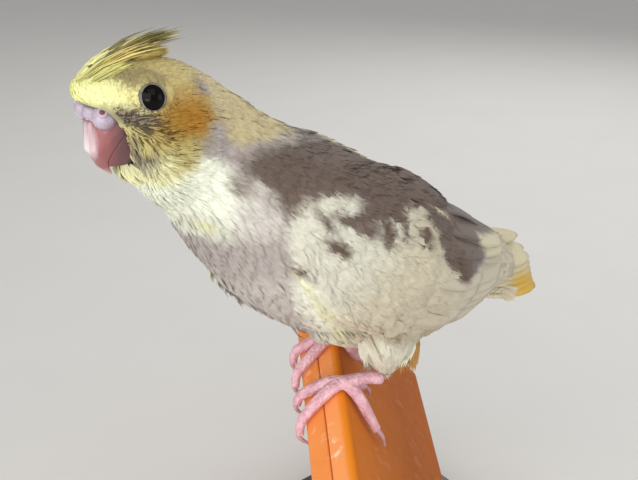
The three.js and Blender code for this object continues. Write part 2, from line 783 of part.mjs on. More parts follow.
function tailVane(pair, side) {
  const pairs = TAIL.feathers / 2;
  const inward = pair / (pairs - 1); // 0 outermost, 1 the middle pair
  const { start, along, up, across: left } = tailFrame();
  const outerShare = side < 0 ? TAIL.outerShare.left : TAIL.outerShare.right;
  const length = TAIL.length * mix(outerShare, 1, Math.sqrt(inward));
  const sideways = side * mix(...TAIL.halfRoot, inward);
  const fan = side * radians(mix(TAIL.spread, 0.4, inward));
  const roof = side * radians(mix(TAIL.roof, 4, inward));
  const lift = mix(...TAIL.lift, inward);
  const way = along.clone().multiplyScalar(Math.cos(fan)).addScaledVector(left, Math.sin(fan));
  const normal = up.clone().multiplyScalar(Math.cos(roof)).addScaledVector(left, Math.sin(roof));
  const across = way.clone().cross(normal).normalize();
  const frameAt = (t) => {
    const point = start.clone().addScaledVector(left, sideways).addScaledVector(way, length * t);
    point.addScaledVector(up, lift - TAIL.droop * t * t);
    return { point, side: across, normal: across.clone().cross(way).normalize() };
  };
  return vane(frameAt, TAIL.width);
}

function tailCore(grow = 0) {
  const { start, along, up, across } = tailFrame();
  const sides = 14;
  const rings = TAIL_CORE.map(([reach, half, height]) => {
    const middle = start.clone().addScaledVector(along, reach);
    const ring = [];
    for (let k = 0; k < sides; k += 1) {
      const angle = (2 * Math.PI * k) / sides;
      const point = middle.clone().addScaledVector(across, Math.cos(angle) * (half + grow));
      ring.push(point.addScaledVector(up, Math.sin(angle) * (height + grow)));
    }
    return ring;
  });
  const last = TAIL_CORE[TAIL_CORE.length - 1][0];
  return solidOf(loft(rings, start.clone(), start.clone().addScaledVector(along, last + 1.5 + grow)));
}

function tailGrown() {
  return tailCore(GAP + 0.1);
}

const tailPieces = [tailCore()];
for (let pair = 0; pair < TAIL.feathers / 2; pair += 1) {
  tailPieces.push(tailVane(pair, 1), tailVane(pair, -1));
}
addNode('tail', fuse(tailPieces).subtract(torsoGrown()), material(COLOURS.tail));

// Crest: vanes from the forehead, swept back over the crown

const CREST = [
  // [station of the root, sideways, length, rise in degrees above level, width]
  [2.2, 0, 26, 12, 3.6],
  [2.3, 1.9, 22.5, 11, 3.6],
  [2.3, -1.9, 22.5, 11, 3.6],
  [2.5, 0.7, 20, 9, 3.4],
  [2.6, -3.1, 16.5, 8, 3.6],
  [2.6, 3.1, 16.5, 8, 3.6],
  [2.8, -0.6, 15, 7, 3.2],
  [3.0, 1.9, 11.5, 5, 3.2],
  [3.0, -1.9, 11.5, 5, 3.2],
];

function crestVane([u, sideways, length, rise, width]) {
  const angle = 90 + (sideways / stationAt(u).w) * 57;
  const root = bodyPoint(u, angle, -0.7);
  const ahead = bodyPoint(u + 0.3, angle, -0.7).sub(root).normalize();
  const bend = root.clone().addScaledVector(ahead, length * 0.32).add(vec(0, 0, 0.8));
  const lift = radians(rise);
  const tip = root.clone().add(vec(length * Math.cos(lift), sideways * 0.3, length * Math.sin(lift)));
  const path = new THREE.QuadraticBezierCurve3(root, bend, tip);
  const frameAt = (t) => {
    const side = vec(0, 1, 0);
    const normal = path.getTangent(t).cross(side).negate().normalize();
    return { point: path.getPoint(t), side, normal };
  };
  return vane(frameAt, width);
}

const crestLine = [2.0, 2.5, 3.1].map((u) => bodyPoint(u, 90, -0.2));
const crestRoot = solidOf(limb(crestLine, [1.2, 1.9, 1.2], 8, 4));
const crest = fuse([crestRoot, ...CREST.map(crestVane)]).subtract(bodySolid(0, 6, GAP));
addNode('crest', crest, material(COLOURS.crest));

// Perch and stand

addNode('perch_back_layer', boardLayer(0, PERCH.layer), material(COLOURS.boardBack, 0.5));
addNode('perch_front_layer', boardLayer(PERCH.layer + GAP, BOARD), material(COLOURS.board, 0.5));

function baseSolid() {
  const { length, width, thick, corner, middle } = STAND;
  const half = [length / 2 - corner, width / 2 - corner];
  const outline = new THREE.Shape();
  outline.absarc(half[0], half[1], corner - 1, 0, Math.PI / 2);
  outline.absarc(-half[0], half[1], corner - 1, Math.PI / 2, Math.PI);
  outline.absarc(-half[0], -half[1], corner - 1, Math.PI, Math.PI * 1.5);
  outline.absarc(half[0], -half[1], corner - 1, Math.PI * 1.5, Math.PI * 2);
  const plate = new THREE.ExtrudeGeometry(outline, {
    depth: thick - 2,
    bevelEnabled: true,
    bevelThickness: 1,
    bevelSize: 1,
    bevelSegments: 1,
    curveSegments: 6,
  });
  plate.translate(middle, 0, STAND.floor + 1);
  return solidOf(plate);
}

function rodSolid(s) {
  const { point, across, down } = perchFrame(s);
  const foot = point.addScaledVector(across, BOARD / 2).addScaledVector(down, PERCH.breadth - 2);
  const bottom = STAND.floor + STAND.thick + GAP;
  const rod = new THREE.CylinderGeometry(STAND.rod, STAND.rod, foot.z - bottom, 16);
  rod.rotateX(Math.PI / 2);
  rod.translate(foot.x, foot.y, (foot.z + bottom) / 2);
  return solidOf(rod).subtract(boardLayer(0, BOARD, GAP));
}

addNode('stand_base', baseSolid(), material(COLOURS.stand, 0.5));
addNode('stand_rod_far', rodSolid(-22), material(COLOURS.stand, 0.4, 0.6));
addNode('stand_rod_near', rodSolid(30), material(COLOURS.stand, 0.4, 0.6));

// Bring the middle of the foot of the stand to zero
group.updateMatrixWorld(true);
const bounds = new THREE.Box3().setFromObject(group);
group.position.set(-(bounds.min.x + bounds.max.x) / 2, -(bounds.min.y + bounds.max.y) / 2, -bounds.min.z);

export default group;
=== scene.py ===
# %% [markdown]
# # A young pied cockatiel on a leaning board
#
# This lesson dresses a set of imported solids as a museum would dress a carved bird: one
# smooth skin, a coat of small feathers laid over it in rows, firm vanes for the wings and
# the tail, wet eyes, a horn bill and scaly feet.
#
# The solids come first. Everything is placed from them, so nothing has to be fitted by eye.

import math

import bpy
import numpy as np
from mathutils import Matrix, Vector
from mathutils.bvhtree import BVHTree


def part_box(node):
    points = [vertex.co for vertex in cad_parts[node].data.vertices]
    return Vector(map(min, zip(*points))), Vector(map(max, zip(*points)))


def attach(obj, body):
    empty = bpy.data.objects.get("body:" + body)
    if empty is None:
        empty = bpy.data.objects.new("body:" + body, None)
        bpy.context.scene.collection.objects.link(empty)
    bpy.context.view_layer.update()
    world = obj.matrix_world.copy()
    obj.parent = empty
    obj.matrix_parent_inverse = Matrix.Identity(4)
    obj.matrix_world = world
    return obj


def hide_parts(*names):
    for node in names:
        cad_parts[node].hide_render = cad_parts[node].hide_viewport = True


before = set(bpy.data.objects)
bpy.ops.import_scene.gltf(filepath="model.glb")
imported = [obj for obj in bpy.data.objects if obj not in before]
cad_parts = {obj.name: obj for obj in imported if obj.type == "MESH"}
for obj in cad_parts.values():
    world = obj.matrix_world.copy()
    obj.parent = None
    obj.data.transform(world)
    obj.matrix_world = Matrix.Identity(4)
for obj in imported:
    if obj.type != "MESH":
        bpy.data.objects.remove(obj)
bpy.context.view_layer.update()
print("solids:", len(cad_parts))

# %% [markdown]
# ## Where things are
#
# Sizes are easiest to think of in millimetres from the ridge of the board, between the
# bird's feet. The bird faces -X, its left side is toward -Y and Z is up. The stand's base
# lies at a known place from that ridge, so its box gives the zero of these measures.

# %% Measure from the ridge of the board
MM = 0.001
BASE_BEHIND_RIDGE = 12.0
RIDGE_HEIGHT = 90.0
base_low, base_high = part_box("stand_base")
ZERO = np.array([
    (base_low.x + base_high.x) / 2 - BASE_BEHIND_RIDGE * MM,
    (base_low.y + base_high.y) / 2,
    RIDGE_HEIGHT * MM,
])


def at(x, y, z):
    """A place in millimetres from the ridge, as a point of the scene."""
    return Vector(ZERO + MM * np.array((x, y, z)))


def from_ridge(points):
    """Points of the scene, in millimetres from the ridge."""
    return (np.asarray(points) - ZERO) / MM


print("ridge of the board at", [round(v, 4) for v in ZERO])

# %% [markdown]
# ## The camera
#
# The photograph is a close view, taken from a little above and from the bird's left front.
# The eye, the feet and the tail were lined up with it to find this place and this lens.

# %% Set the camera
CAMERA_AT = (-125.7, -158.6, 133.4)
AZIMUTH = -38.0
ELEVATION = 24.0
FRAME_WIDTH = 638
FOCAL_PIXELS = 800
SENSOR = 36.0

camera = bpy.data.cameras.new("camera")
camera.sensor_width = SENSOR
camera.lens = FOCAL_PIXELS / FRAME_WIDTH * SENSOR
camera.clip_start = 0.01
camera_object = bpy.data.objects.new("camera", camera)
camera_object.location = at(*CAMERA_AT)
camera_object.rotation_euler = (math.radians(90 - ELEVATION), 0, math.radians(AZIMUTH))
bpy.context.scene.collection.objects.link(camera_object)
bpy.context.scene.camera = camera_object
print("lens", round(camera.lens, 2), "mm")

# %% [markdown]
# ## A few tools of the trade
#
# Each piece is worked on alone, because an operator acts on everything that is selected and
# the solids come in selected. A copy of a solid has its loose corners merged before it is
# worked further, and a modifier is applied as soon as it has done its work.

# %% Tools for working on one piece
ALL = (bpy.ops.mesh.select_all, {"action": "SELECT"})
OUTWARD = (bpy.ops.mesh.normals_make_consistent, {"inside": False})


def alone(*pieces):
    """Select these pieces and nothing else."""
    bpy.ops.object.select_all(action="DESELECT")
    for piece in pieces:
        piece.select_set(True)
    bpy.context.view_layer.objects.active = pieces[0]


def modify(piece, kind, **settings):
    """Add a modifier to a piece and apply it."""
    alone(piece)
    modifier = piece.modifiers.new(kind, kind)
    for name, value in settings.items():
        setattr(modifier, name, value)
    bpy.ops.object.modifier_apply(modifier=modifier.name)


def remesh(piece, grain, rounds):
    """Cover a piece with an even mesh of a grain in millimetres, and smooth it for some rounds."""
    modify(piece, "REMESH", mode="VOXEL", voxel_size=grain * MM)
    modify(piece, "SMOOTH", factor=0.5, iterations=rounds)


def edit(piece, *steps):
    """Work on all of a piece's mesh with operators, each given with its settings."""
    alone(piece)
    bpy.ops.object.mode_set(mode="EDIT")
    for operator, settings in (ALL, *steps):
        operator(**settings)
    bpy.ops.object.mode_set(mode="OBJECT")


def extrude(x, y, z):
    """A step that pulls out what is selected."""
    return bpy.ops.mesh.extrude_region_move, {"TRANSFORM_OT_translate": {"value": (x, y, z)}}


def merge_corners(piece, distance=0.01):
    """Merge corners nearer than a distance in millimetres, and face everything outward."""
    edit(piece, (bpy.ops.mesh.remove_doubles, {"threshold": distance * MM}), OUTWARD)


def add(form, name, **settings):
    """Add a ready-made form, with its place and its turn worked into its mesh."""
    bpy.ops.object.select_all(action="DESELECT")
    form(**settings)
    piece = bpy.context.object
    piece.name = name
    bpy.ops.object.transform_apply()
    return piece


def copy_of(node, name):
    """A copy of a solid, as a piece that may be reshaped."""
    piece = bpy.data.objects.new(name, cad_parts[node].data.copy())
    bpy.context.scene.collection.objects.link(piece)
    piece.data.materials.clear()
    alone(piece)
    bpy.ops.mesh.customdata_custom_splitnormals_clear()
    merge_corners(piece)
    return piece


def join(pieces, name):
    """Join pieces into one."""
    alone(*pieces)
    bpy.ops.object.join()
    pieces[0].name = name
    pieces[0].data.name = name
    return pieces[0]


def smooth(piece):
    """Shade a piece smooth all over."""
    alone(piece)
    bpy.ops.object.shade_smooth()
    return piece


def settle(piece, material, slot, *nodes):
    """Finish a piece: its material, its slot (not used), the solids it stands for, and the body it rides on.
    """
    piece.data.materials.clear()
    piece.data.materials.append(material)
    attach(piece, "root")
    if nodes:
        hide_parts(*nodes)
    return piece


print("tools ready")

# %% [markdown]
# ## Writing a finish
#
# A finish is a sum of patterns: a base colour, times a speckle, plus a stain. The small
# class below wraps a socket, so that such a sum is written as it is thought. Numbers go
# through its operators. Colours are mixed by one method, because a maths node would turn
# them grey.

# %% A socket that takes part in sums


class Wire:
    """One output of a node, ready for sums."""

    def __init__(self, finish, socket):
        self.finish = finish
        self.socket = socket

    def _sum(self, operation, first, second):
        return self.finish.node("ShaderNodeMath", {0: first, 1: second}, operation=operation)

    def __add__(self, other):
        return self._sum("ADD", self, other)

    def __sub__(self, other):
        return self._sum("SUBTRACT", self, other)

    def __rsub__(self, other):
        return self._sum("SUBTRACT", other, self)

    def __mul__(self, other):
        return self._sum("MULTIPLY", self, other)

    __radd__ = __add__
    __rmul__ = __mul__


def linear(colour):
    """An everyday colour from 0 to 255, as the amounts of light that a shader takes."""
    share = np.asarray(colour, float) / 255
    return np.where(share <= 0.04045, share / 12.92, ((share + 0.055) / 1.055) ** 2.4)


def paint(colour):
    """The same, with full cover, for a socket."""
    return (*[float(v) for v in linear(colour)], 1.0)


class Finish:
    """A material and the nodes that make it up."""

    def __init__(self, name, roughness=0.5, constants=None):
        self.material = bpy.data.materials.new(name)
        self.material.use_nodes = True
        self.tree = self.material.node_tree
        self.shader = self.tree.nodes["Principled BSDF"]
        self.feed("Roughness", roughness)
        for socket, value in (constants or {}).items():
            self.feed(socket, value)

    def connect(self, socket, value):
        if isinstance(value, Wire):
            self.tree.links.new(value.socket, socket)
        else:
            socket.default_value = value

    def feed(self, name, value):
        """Give the main shader a value or a wire."""
        self.connect(self.shader.inputs[name], value)

    def node(self, kind, inputs=None, output=0, **settings):
        """Any node, with its settings first and then the values or wires of its sockets."""
        made = self.tree.nodes.new(kind)
        for name, value in settings.items():
            setattr(made, name, value)
        for socket, value in (inputs or {}).items():
            self.connect(made.inputs[socket], value)
        return Wire(self, made.outputs[output])

    def place(self):
        return self.node("ShaderNodeTexCoord", output="Object")

    def reach(self, start, direction):
        """How far a place lies from a start along a direction, in millimetres."""
        inputs = {0: self.place(), 1: direction}
        along = self.node("ShaderNodeVectorMath", inputs, "Value", operation="DOT_PRODUCT")
        return along * (1 / MM) - float(np.dot(start, direction) / MM)

    def noise(self, grain, detail=4, stretch=(1, 1, 1)):
        """A cloudy pattern whose grain is in millimetres, from 0 to 1."""
        scaled = self.node("ShaderNodeMapping", {"Vector": self.place(), "Scale": stretch})
        inputs = {"Vector": scaled, "Scale": 1 / (grain * MM), "Detail": detail}
        return self.node("ShaderNodeTexNoise", inputs)

    def cells(self, grain):
        """A pattern of cells whose size is in millimetres: the distance from their middles."""
        return self.node("ShaderNodeTexVoronoi", {"Vector": self.place(), "Scale": 1 / (grain * MM)})

    def between(self, value, low, high):
        """Turn a value into a share that is 0 up to low and 1 from high."""
        share = self.node("ShaderNodeValToRGB", {0: value})
        for stop, position in zip(share.socket.node.color_ramp.elements, (low, high)):
            stop.position = position
        return share

    def mix(self, share, first, second, blend="MIX"):
        """Mix two colours by a share. Each is a wire or an everyday colour."""
        colours = [value if isinstance(value, Wire) else paint(value) for value in (first, second)]
        inputs = {0: share, 6: colours[0], 7: colours[1]}
        return self.node("ShaderNodeMix", inputs, 2, data_type="RGBA", blend_type=blend)

    def cover(self, share, first, second):
        """Mix two colours by a share as the colour of the whole."""
        self.feed("Base Color", self.mix(share, first, second))

    def shade_marking(self, shade):
        """Show the bird's marking, times an amount."""
        tone = self.node("ShaderNodeCombineColor", {0: shade, 1: shade, 2: shade})
        self.feed("Base Color", self.mix(1.0, self.attribute("marking", "Color"), tone, "MULTIPLY"))

    def attribute(self, name, output="Fac"):
        return self.node("ShaderNodeAttribute", output=output, attribute_name=name)

    def bump(self, height, depth):
        """Bumps of a depth in millimetres."""
        inputs = {"Height": height, "Distance": depth * MM, "Strength": 1.0}
        self.feed("Normal", self.node("ShaderNodeBump", inputs))


print("finishes are written as sums")

# %% [markdown]
# ## The skin
#
# Under its feathers a bird is one smooth body. The solids come apart at the neck, the
# thighs and the wings, so copies of them are swollen until they meet, remeshed as one, and
# drawn in again by the depth of the coat. The folded wings are thin shields on its sides:
# the skin is raised under them, by looking straight down on the wing from outside.

# %% Join the flesh into one skin
COAT_DEPTH = 0.8
SWELL = 0.35
SKIN_GRAIN = 0.72
FLESH = ("torso", "head", "neck", "thigh_left", "thigh_right", "tail")
TAIL_ROOT = (57.7, 0.0, 20.8)
TAIL_PITCH = math.radians(13.0)
TAIL_BACK = np.array([math.cos(TAIL_PITCH), 0, -math.sin(TAIL_PITCH)])
TAIL_COVERTS = 16.0


def flesh():
    """Every solid of flesh, swollen a little and joined. Of the tail only the root is kept."""
    pieces = [copy_of(node, "flesh") for node in FLESH]
    back = Vector(TAIL_BACK)
    end = at(*TAIL_ROOT) + back * TAIL_COVERTS * MM
    cut = dict(plane_co=end, plane_no=back, use_fill=True, clear_outer=True)
    edit(pieces[-1], (bpy.ops.mesh.bisect, cut))
    for piece in pieces:
        modify(piece, "DISPLACE", strength=SWELL * MM, mid_level=0)
    return join(pieces, "skin")


skin = flesh()
remesh(skin, SKIN_GRAIN, 6)
modify(skin, "DISPLACE", strength=-(SWELL + COAT_DEPTH) * MM, mid_level=0)
print("skin:", len(skin.data.vertices), "corners")

# %% [markdown]
# Numbers for a whole mesh are read and written at once, as arrays. The same arrays will
# place every feather later.

# %% Read and write a mesh as arrays


def unit(vectors):
    """Vectors made one long."""
    return vectors / np.maximum(np.linalg.norm(vectors, axis=1, keepdims=True), 1e-9)


def read(items, field, width=3, kind=np.float32):
    """One field of all corners, edges or loops of a mesh."""
    values = np.empty(len(items) * width, kind)
    items.foreach_get(field, values)
    return values.reshape(-1, width)


def corners_of(mesh):
    return read(mesh.vertices, "co").astype(float)


def normals_of(mesh):
    return read(mesh.vertices, "normal").astype(float)


def set_corners(mesh, corners):
    mesh.vertices.foreach_set("co", np.asarray(corners, np.float32).ravel())
    mesh.update()


def store(mesh, name, kind, field, values):
    """Keep a value at every corner, for a finish to read."""
    attribute = mesh.attributes.new(name, kind, "POINT")
    attribute.data.foreach_set(field, np.ascontiguousarray(values, np.float32).ravel())


def take_form(piece):
    """The corners and the faces of a piece, which is then removed."""
    corners = corners_of(piece.data)
    faces = np.array([tuple(p.vertices) for p in piece.data.polygons])
    bpy.data.objects.remove(piece)
    return corners, faces


print("arrays ready")

# %% Open the skin over the eyes
EYE_RADIUS = 3.15
EYE_REACH = 7.0
LOOKS = np.array([-0.25, 1.0, 0.22]) / np.linalg.norm([-0.25, 1.0, 0.22])
EYE_PLACES = [(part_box(f"eye_{side}")[0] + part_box(f"eye_{side}")[1]) / 2 for side in ("left", "right")]
EYES = from_ridge([tuple(place) for place in EYE_PLACES])
EYE_WAYS = [LOOKS * (1, side, 1) for side in (-1, 1)]

# The window of the eye: degrees from its middle, and the skin's distance from the eye there
WINDOW_ANGLES = (0, 46, 60, 80)
WINDOW_DISTANCES = (2.2, 2.6, 3.15, 3.9)

# The brow: how far it is drawn back, from which height up and from which place forward
BROW_CUT = 0.8
BROW_BASE = 94
BROW_FRONT = -55.5


def open_eyes(points):
    """Draw the skin in over each eye, so that the ball shows in a round window."""
    for eye, way in zip(EYES, EYE_WAYS):
        out = points - eye
        distance = np.linalg.norm(out, axis=1)
        angle = np.degrees(np.arccos(np.clip((out @ way) / distance, -1, 1)))
        limit = np.interp(angle, WINDOW_ANGLES, WINDOW_DISTANCES)
        limit = np.where((angle > WINDOW_ANGLES[-1]) | (distance > EYE_REACH), distance, limit)
        points = eye + out * (np.minimum(distance, limit) / distance)[:, None]
    return points


def slope_brow(points):
    """Draw the skin back over the bill, where the brow slopes up to the crest."""
    x, y, z = points.T
    share = np.clip((z - BROW_BASE) / 3, 0, 1) * np.clip((BROW_FRONT - x) / 5, 0, 1)
    return points + share[:, None] * np.array([0.7, 0.0, -0.7]) * BROW_CUT


for reshape in (open_eyes, slope_brow):
    set_corners(skin.data, ZERO + MM * reshape(from_ridge(corners_of(skin.data))))
print("eyes at", np.round(EYES, 1).tolist())

# %% Raise the skin under the wings


def spread_out(mesh, values, rounds):
    """Even out a value over a mesh, from corner to corner."""
    first, second = read(mesh.edges, "vertices", 2, np.int32).T
    size = len(values)
    count = np.bincount(first, minlength=size) + np.bincount(second, minlength=size)
    for _ in range(rounds):
        total = np.bincount(first, values[second], size) + np.bincount(second, values[first], size)
        values = 0.5 * values + 0.5 * total / np.maximum(count, 1)
    return values


def tree_of(mesh):
    """What a ray can be cast at."""
    return BVHTree.FromPolygons([v.co for v in mesh.vertices], [tuple(p.vertices) for p in mesh.polygons])


# How far out the solid wing is looked for, and the least rise that counts, in millimetres
WING_REACH = 9.0
WING_LEAST = 1.2


def wing_height(mesh):
    """How far each corner of the skin has to rise to reach the solid wing above it, in millimetres."""
    trees = [tree_of(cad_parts[node].data) for node in ("wing_left", "wing_right")]
    heights = np.zeros(len(mesh.vertices))
    for k, (point, normal) in enumerate(zip(corners_of(mesh), normals_of(mesh))):
        start = Vector(point + normal * WING_REACH * MM)
        for tree in trees:
            distance = tree.ray_cast(start, Vector(-normal), WING_REACH * MM)[3]
            if distance is not None:
                heights[k] = max(heights[k], WING_REACH - distance / MM)
    return np.where(heights > WING_LEAST, heights, 0.0)


heights = wing_height(skin.data)
under_wing = spread_out(skin.data, (heights > 0).astype(float), 3)
raised = spread_out(skin.data, np.maximum(heights - COAT_DEPTH, 0), 10)
set_corners(skin.data, corners_of(skin.data) + normals_of(skin.data) * raised[:, None] * MM)
store(skin.data, "wing", "FLOAT", "value", under_wing)
modify(skin, "SMOOTH", factor=0.5, iterations=3)
modify(skin, "TRIANGULATE")
smooth(skin)
print("raised under the wings by up to", round(float(raised.max()), 1), "mm")

# %% [markdown]
# The skin is laid out flat once. Each feather will later be given its own
# small place on this layout.

# %% Unwrap the skin
BAKE_MAP = "OFBake"
BAKE_PATCH = 0.003
FOLD_ANGLE = math.radians(66)

skin.data.uv_layers.new(name=BAKE_MAP)
edit(skin, (bpy.ops.uv.smart_project, dict(angle_limit=FOLD_ANGLE, island_margin=2 * BAKE_PATCH)))


def read_skin(mesh):
    """The triangles of the skin as arrays: places, normals, layout, areas and wing shares."""
    triangles = read(mesh.loops, "vertex_index", 1, np.int32).reshape(-1, 3)
    places = corners_of(mesh)[triangles]
    across = np.cross(places[:, 1] - places[:, 0], places[:, 2] - places[:, 0])
    even = unit(np.stack([spread_out(mesh, axis, 8) for axis in normals_of(mesh).T], 1))
    return {
        "places": places,
        "normals": even[triangles],
        "layout": read(mesh.uv_layers[BAKE_MAP].data, "uv", 2).reshape(-1, 3, 2).astype(float),
        "areas": np.linalg.norm(across, axis=1) / 2 / MM**2,
        "wing": read(mesh.attributes["wing"].data, "value", 1)[triangles, 0],
    }


SKIN = read_skin(skin.data)
SKIN_TREE = tree_of(skin.data)
print("area of the skin:", round(float(SKIN["areas"].sum()) / 100), "square centimetres")

# %% [markdown]
# ## The markings
#
# A pied bird is a patchwork. The young bird's face is yellow with an orange patch over the
# ear, its throat is white, its breast taupe, and a brown-grey cape runs from the side of
# the neck over the shoulder to the tips of the wings, above a white panel on the wing. The
# patches are drawn once in the side view, as outlines and ovals with soft edges, and both
# the skin and every feather ask the same function for their colour.

# %% Name the colours of the bird
YELLOW = (244, 244, 178)
PALE_YELLOW = (213, 210, 164)
DULL_YELLOW = (212, 202, 136)
KHAKI = (199, 183, 123)
CHEEK = (192, 179, 117)
CREAM = (214, 205, 172)
TAN = (204, 189, 146)
WHITE = (242, 245, 228)
# Painted shade: a dimmer white laid on the top of the breast
SHADED_BREAST_WHITE = (212, 213, 196)
WING_WHITE = (208, 206, 190)
WARM_WHITE = (202, 193, 170)
TAUPE = (174, 165, 160)
PALE_TAUPE = (206, 200, 192)
BROWN_GREY = (107, 92, 83)
DARK_BROWN = (98, 80, 68)
OLIVE = (154, 141, 98)
ORANGE = (170, 122, 44)
EAR_YELLOW = (162, 134, 70)
GREY = (150, 140, 124)
DARK_GREY = (126, 116, 104)
UMBER = (138, 124, 114)
BUTTER = (232, 230, 184)
GOLD = (214, 172, 60)
# Painted shade: the tufts behind the legs are painted tan, darker than the body, for the shade they hang in
SHADED_TUFT_TAN = (180, 140, 84)
FLUFF = (220, 219, 200)
STREAK_SHADE = np.array([0.34, 0.29, 0.25])

# %% [markdown]
# An outline is a ring of (x, z) places in the side view. The share of a patch at a point
# comes from its distance to the ring, shifted by a gentle unevenness, so that no edge is
# drawn with a ruler.

# %% Draw soft patches


def ramp(value, low, high):
    """A smooth share: 0 below low and 1 above high, or the other way round."""
    share = np.clip((value - low) / (high - low), 0, 1)
    return share * share * (3 - 2 * share)


def wobble(points, size, shift=0.0):
    """A gentle unevenness from -1 to 1, with waves of about a size in millimetres."""
    x, y, z = (points / size + shift).T
    waves = np.sin(1.7 * x + 2.3 * z) + np.sin(2.9 * y - 1.3 * x + 1.0) + np.sin(3.1 * z + 1.9 * y + 2.0)
    return waves / 3


def oval(points, middle, half, tilt=0.0, edge=0.3):
    """The share of a soft oval in the side view at each point."""
    angle = math.radians(tilt)
    x = points[:, 0] - middle[0]
    z = points[:, 2] - middle[1]
    along = x * math.cos(angle) - z * math.sin(angle)
    over = x * math.sin(angle) + z * math.cos(angle)
    distance = np.hypot(along / half[0], over / half[1])
    distance = distance + 0.14 * wobble(points, min(half) * 0.9, middle[0])
    return ramp(distance, 1 + edge, 1 - edge)


def outlined(points, ring, edge=0.8, ragged=0.7):
    """The share of an outlined patch at each point, with an edge in millimetres."""
    place = points[:, [0, 2]]
    nearest = np.full(len(points), np.inf)
    inside = np.zeros(len(points), bool)
    for start, end in zip(np.array(ring, float), np.roll(np.array(ring, float), -1, 0)):
        way = end - start
        share = np.clip(((place - start) @ way) / (way @ way), 0, 1)
        nearest = np.minimum(nearest, np.linalg.norm(place - start - share[:, None] * way, axis=1))
        crosses = (place[:, 1] < start[1]) != (place[:, 1] < end[1])
        reach = start[0] + (place[:, 1] - start[1]) * way[0] / (way[1] or 1.0)
        inside ^= crosses & (place[:, 0] < reach)
    distance = np.where(inside, nearest, -nearest) + ragged * wobble(points, 2.6)
    return ramp(distance, -edge, edge)


# Outlines in the side view, as rings of (x, z)
THROAT = [
    (-60, 78), (-52, 66), (-46, 59), (-40, 59.5), (-34, 61), (-29, 62), (-30, 66), (-34, 70), (-38, 75),
    (-41, 80), (-50, 82),
]
NAPE = [
    (-48, 106), (-40, 95), (-39, 84), (-37, 81), (-30, 80.5), (-18, 78.5), (-10, 81), (-12, 95), (-30, 108),
]
CAPE = [
    (-37.5, 78.5), (-34, 80), (-30, 79.5), (-24, 78.5), (-15, 77), (-8, 76), (0, 73.5), (14, 72), (32, 62),
    (52, 48), (64, 36), (62, 32), (50, 35.5), (42, 40), (42, 32), (36, 31), (28, 30), (12, 40), (-8, 52),
    (-25, 58), (-28, 63), (-32, 68),
]
PANEL = [
    (-26.5, 57), (-26, 62), (-23.5, 64), (-20, 64.6), (-17.5, 62), (-14, 61.5), (-10, 60), (-7, 58),
    (-3, 58.5), (1, 57), (5, 56.5), (8, 57.8), (11, 56.5), (13, 53), (15.5, 49), (16.5, 45.5), (16.4, 43),
    (20, 40), (23.4, 35.5), (27.5, 31), (33, 31.5), (41, 32), (46, 31.5), (49, 34), (61, 32), (70, 31),
    (95, 24), (95, -5), (60, 4), (18, 8), (3, 14), (-3, 19), (-10, 28), (-16, 35.5), (-21, 43.5), (-24.5, 51),
]
FACE_MASK = [
    (-75, 112), (-75, 84), (-60, 76), (-55.5, 71.5), (-51.5, 74.2), (-48.4, 77.0), (-45.4, 80.6),
    (-42.8, 84.0), (-40, 89), (-41, 96), (-44, 101), (-50, 112),
]
RIM = [
    (-24, 49), (-20, 43.5), (-14, 35), (-7, 26.5), (1, 18.5), (5, 16), (3, 13), (-3, 19), (-10, 28),
    (-16, 35.5), (-21, 43.5),
]
BELLY = [
    (-24, 45), (-19, 34), (-12, 26), (-4, 18), (6, 11), (16, 8), (8, 16), (-2, 22), (-10, 31), (-17, 39),
    (-22, 48),
]
REAR = [(41, 41), (47, 38), (58, 34), (64, 31), (62, 27), (52, 29), (44, 34)]

# The feathers that hang beside the bill
GAPE = ((-56.8, 82.5), (2.0, 5.5), 0, 0.4)

# The edge of the far wing shows white beyond the breast
FLANK = ((-29.0, 41.0), (5.0, 7.5), 40, 0.4)

# Each spot: colour, middle (x, z), half widths, tilt down toward the tail, edge
SPOTS = [
    (PALE_TAUPE, (-32.5, 63.5), (5.5, 5.0), 40, 0.6),
    (UMBER, (-36.4, 71.8), (2.8, 1.6), 50, 0.7),
    (PALE_TAUPE, (-31.5, 70.5), (2.2, 1.4), 40, 0.8),
    (WING_WHITE, (-14.5, 64.2), (6.6, 2.0), 8, 0.3),
    (BROWN_GREY, (-17.0, 55.2), (2.9, 1.4), 48, 0.45),
    (DARK_BROWN, (-14.6, 53.8), (2.0, 1.5), 40, 0.5),
    (BROWN_GREY, (-22.6, 48.6), (2.1, 1.2), 40, 0.5),
    (BROWN_GREY, (-18.5, 61.0), (1.1, 3.2), -30, 0.6),
    (BROWN_GREY, (-12.4, 60.6), (4.6, 1.5), 25, 0.6),
    (BROWN_GREY, (-7.4, 57.6), (3.6, 2.4), 40, 0.6),
    (DARK_BROWN, (-1.9, 54.8), (1.9, 4.0), 5, 0.4),
    (DARK_BROWN, (3.8, 55.0), (1.7, 3.2), 10, 0.45),
    (DARK_BROWN, (10.4, 50.0), (1.5, 2.8), 10, 0.4),
    (DARK_BROWN, (26.6, 36.4), (5.0, 2.2), 60, 0.5),
    # The top of the breast is painted a dimmer white, as painted shade
    (SHADED_BREAST_WHITE, (-41.5, 61.8), (5.0, 3.0), 40, 0.7),
    (BUTTER, (-41.7, 62.0), (1.0, 2.0), -30, 0.5),
    (CREAM, (21.0, 52.6), (3.6, 0.5), 30, 0.6),
]
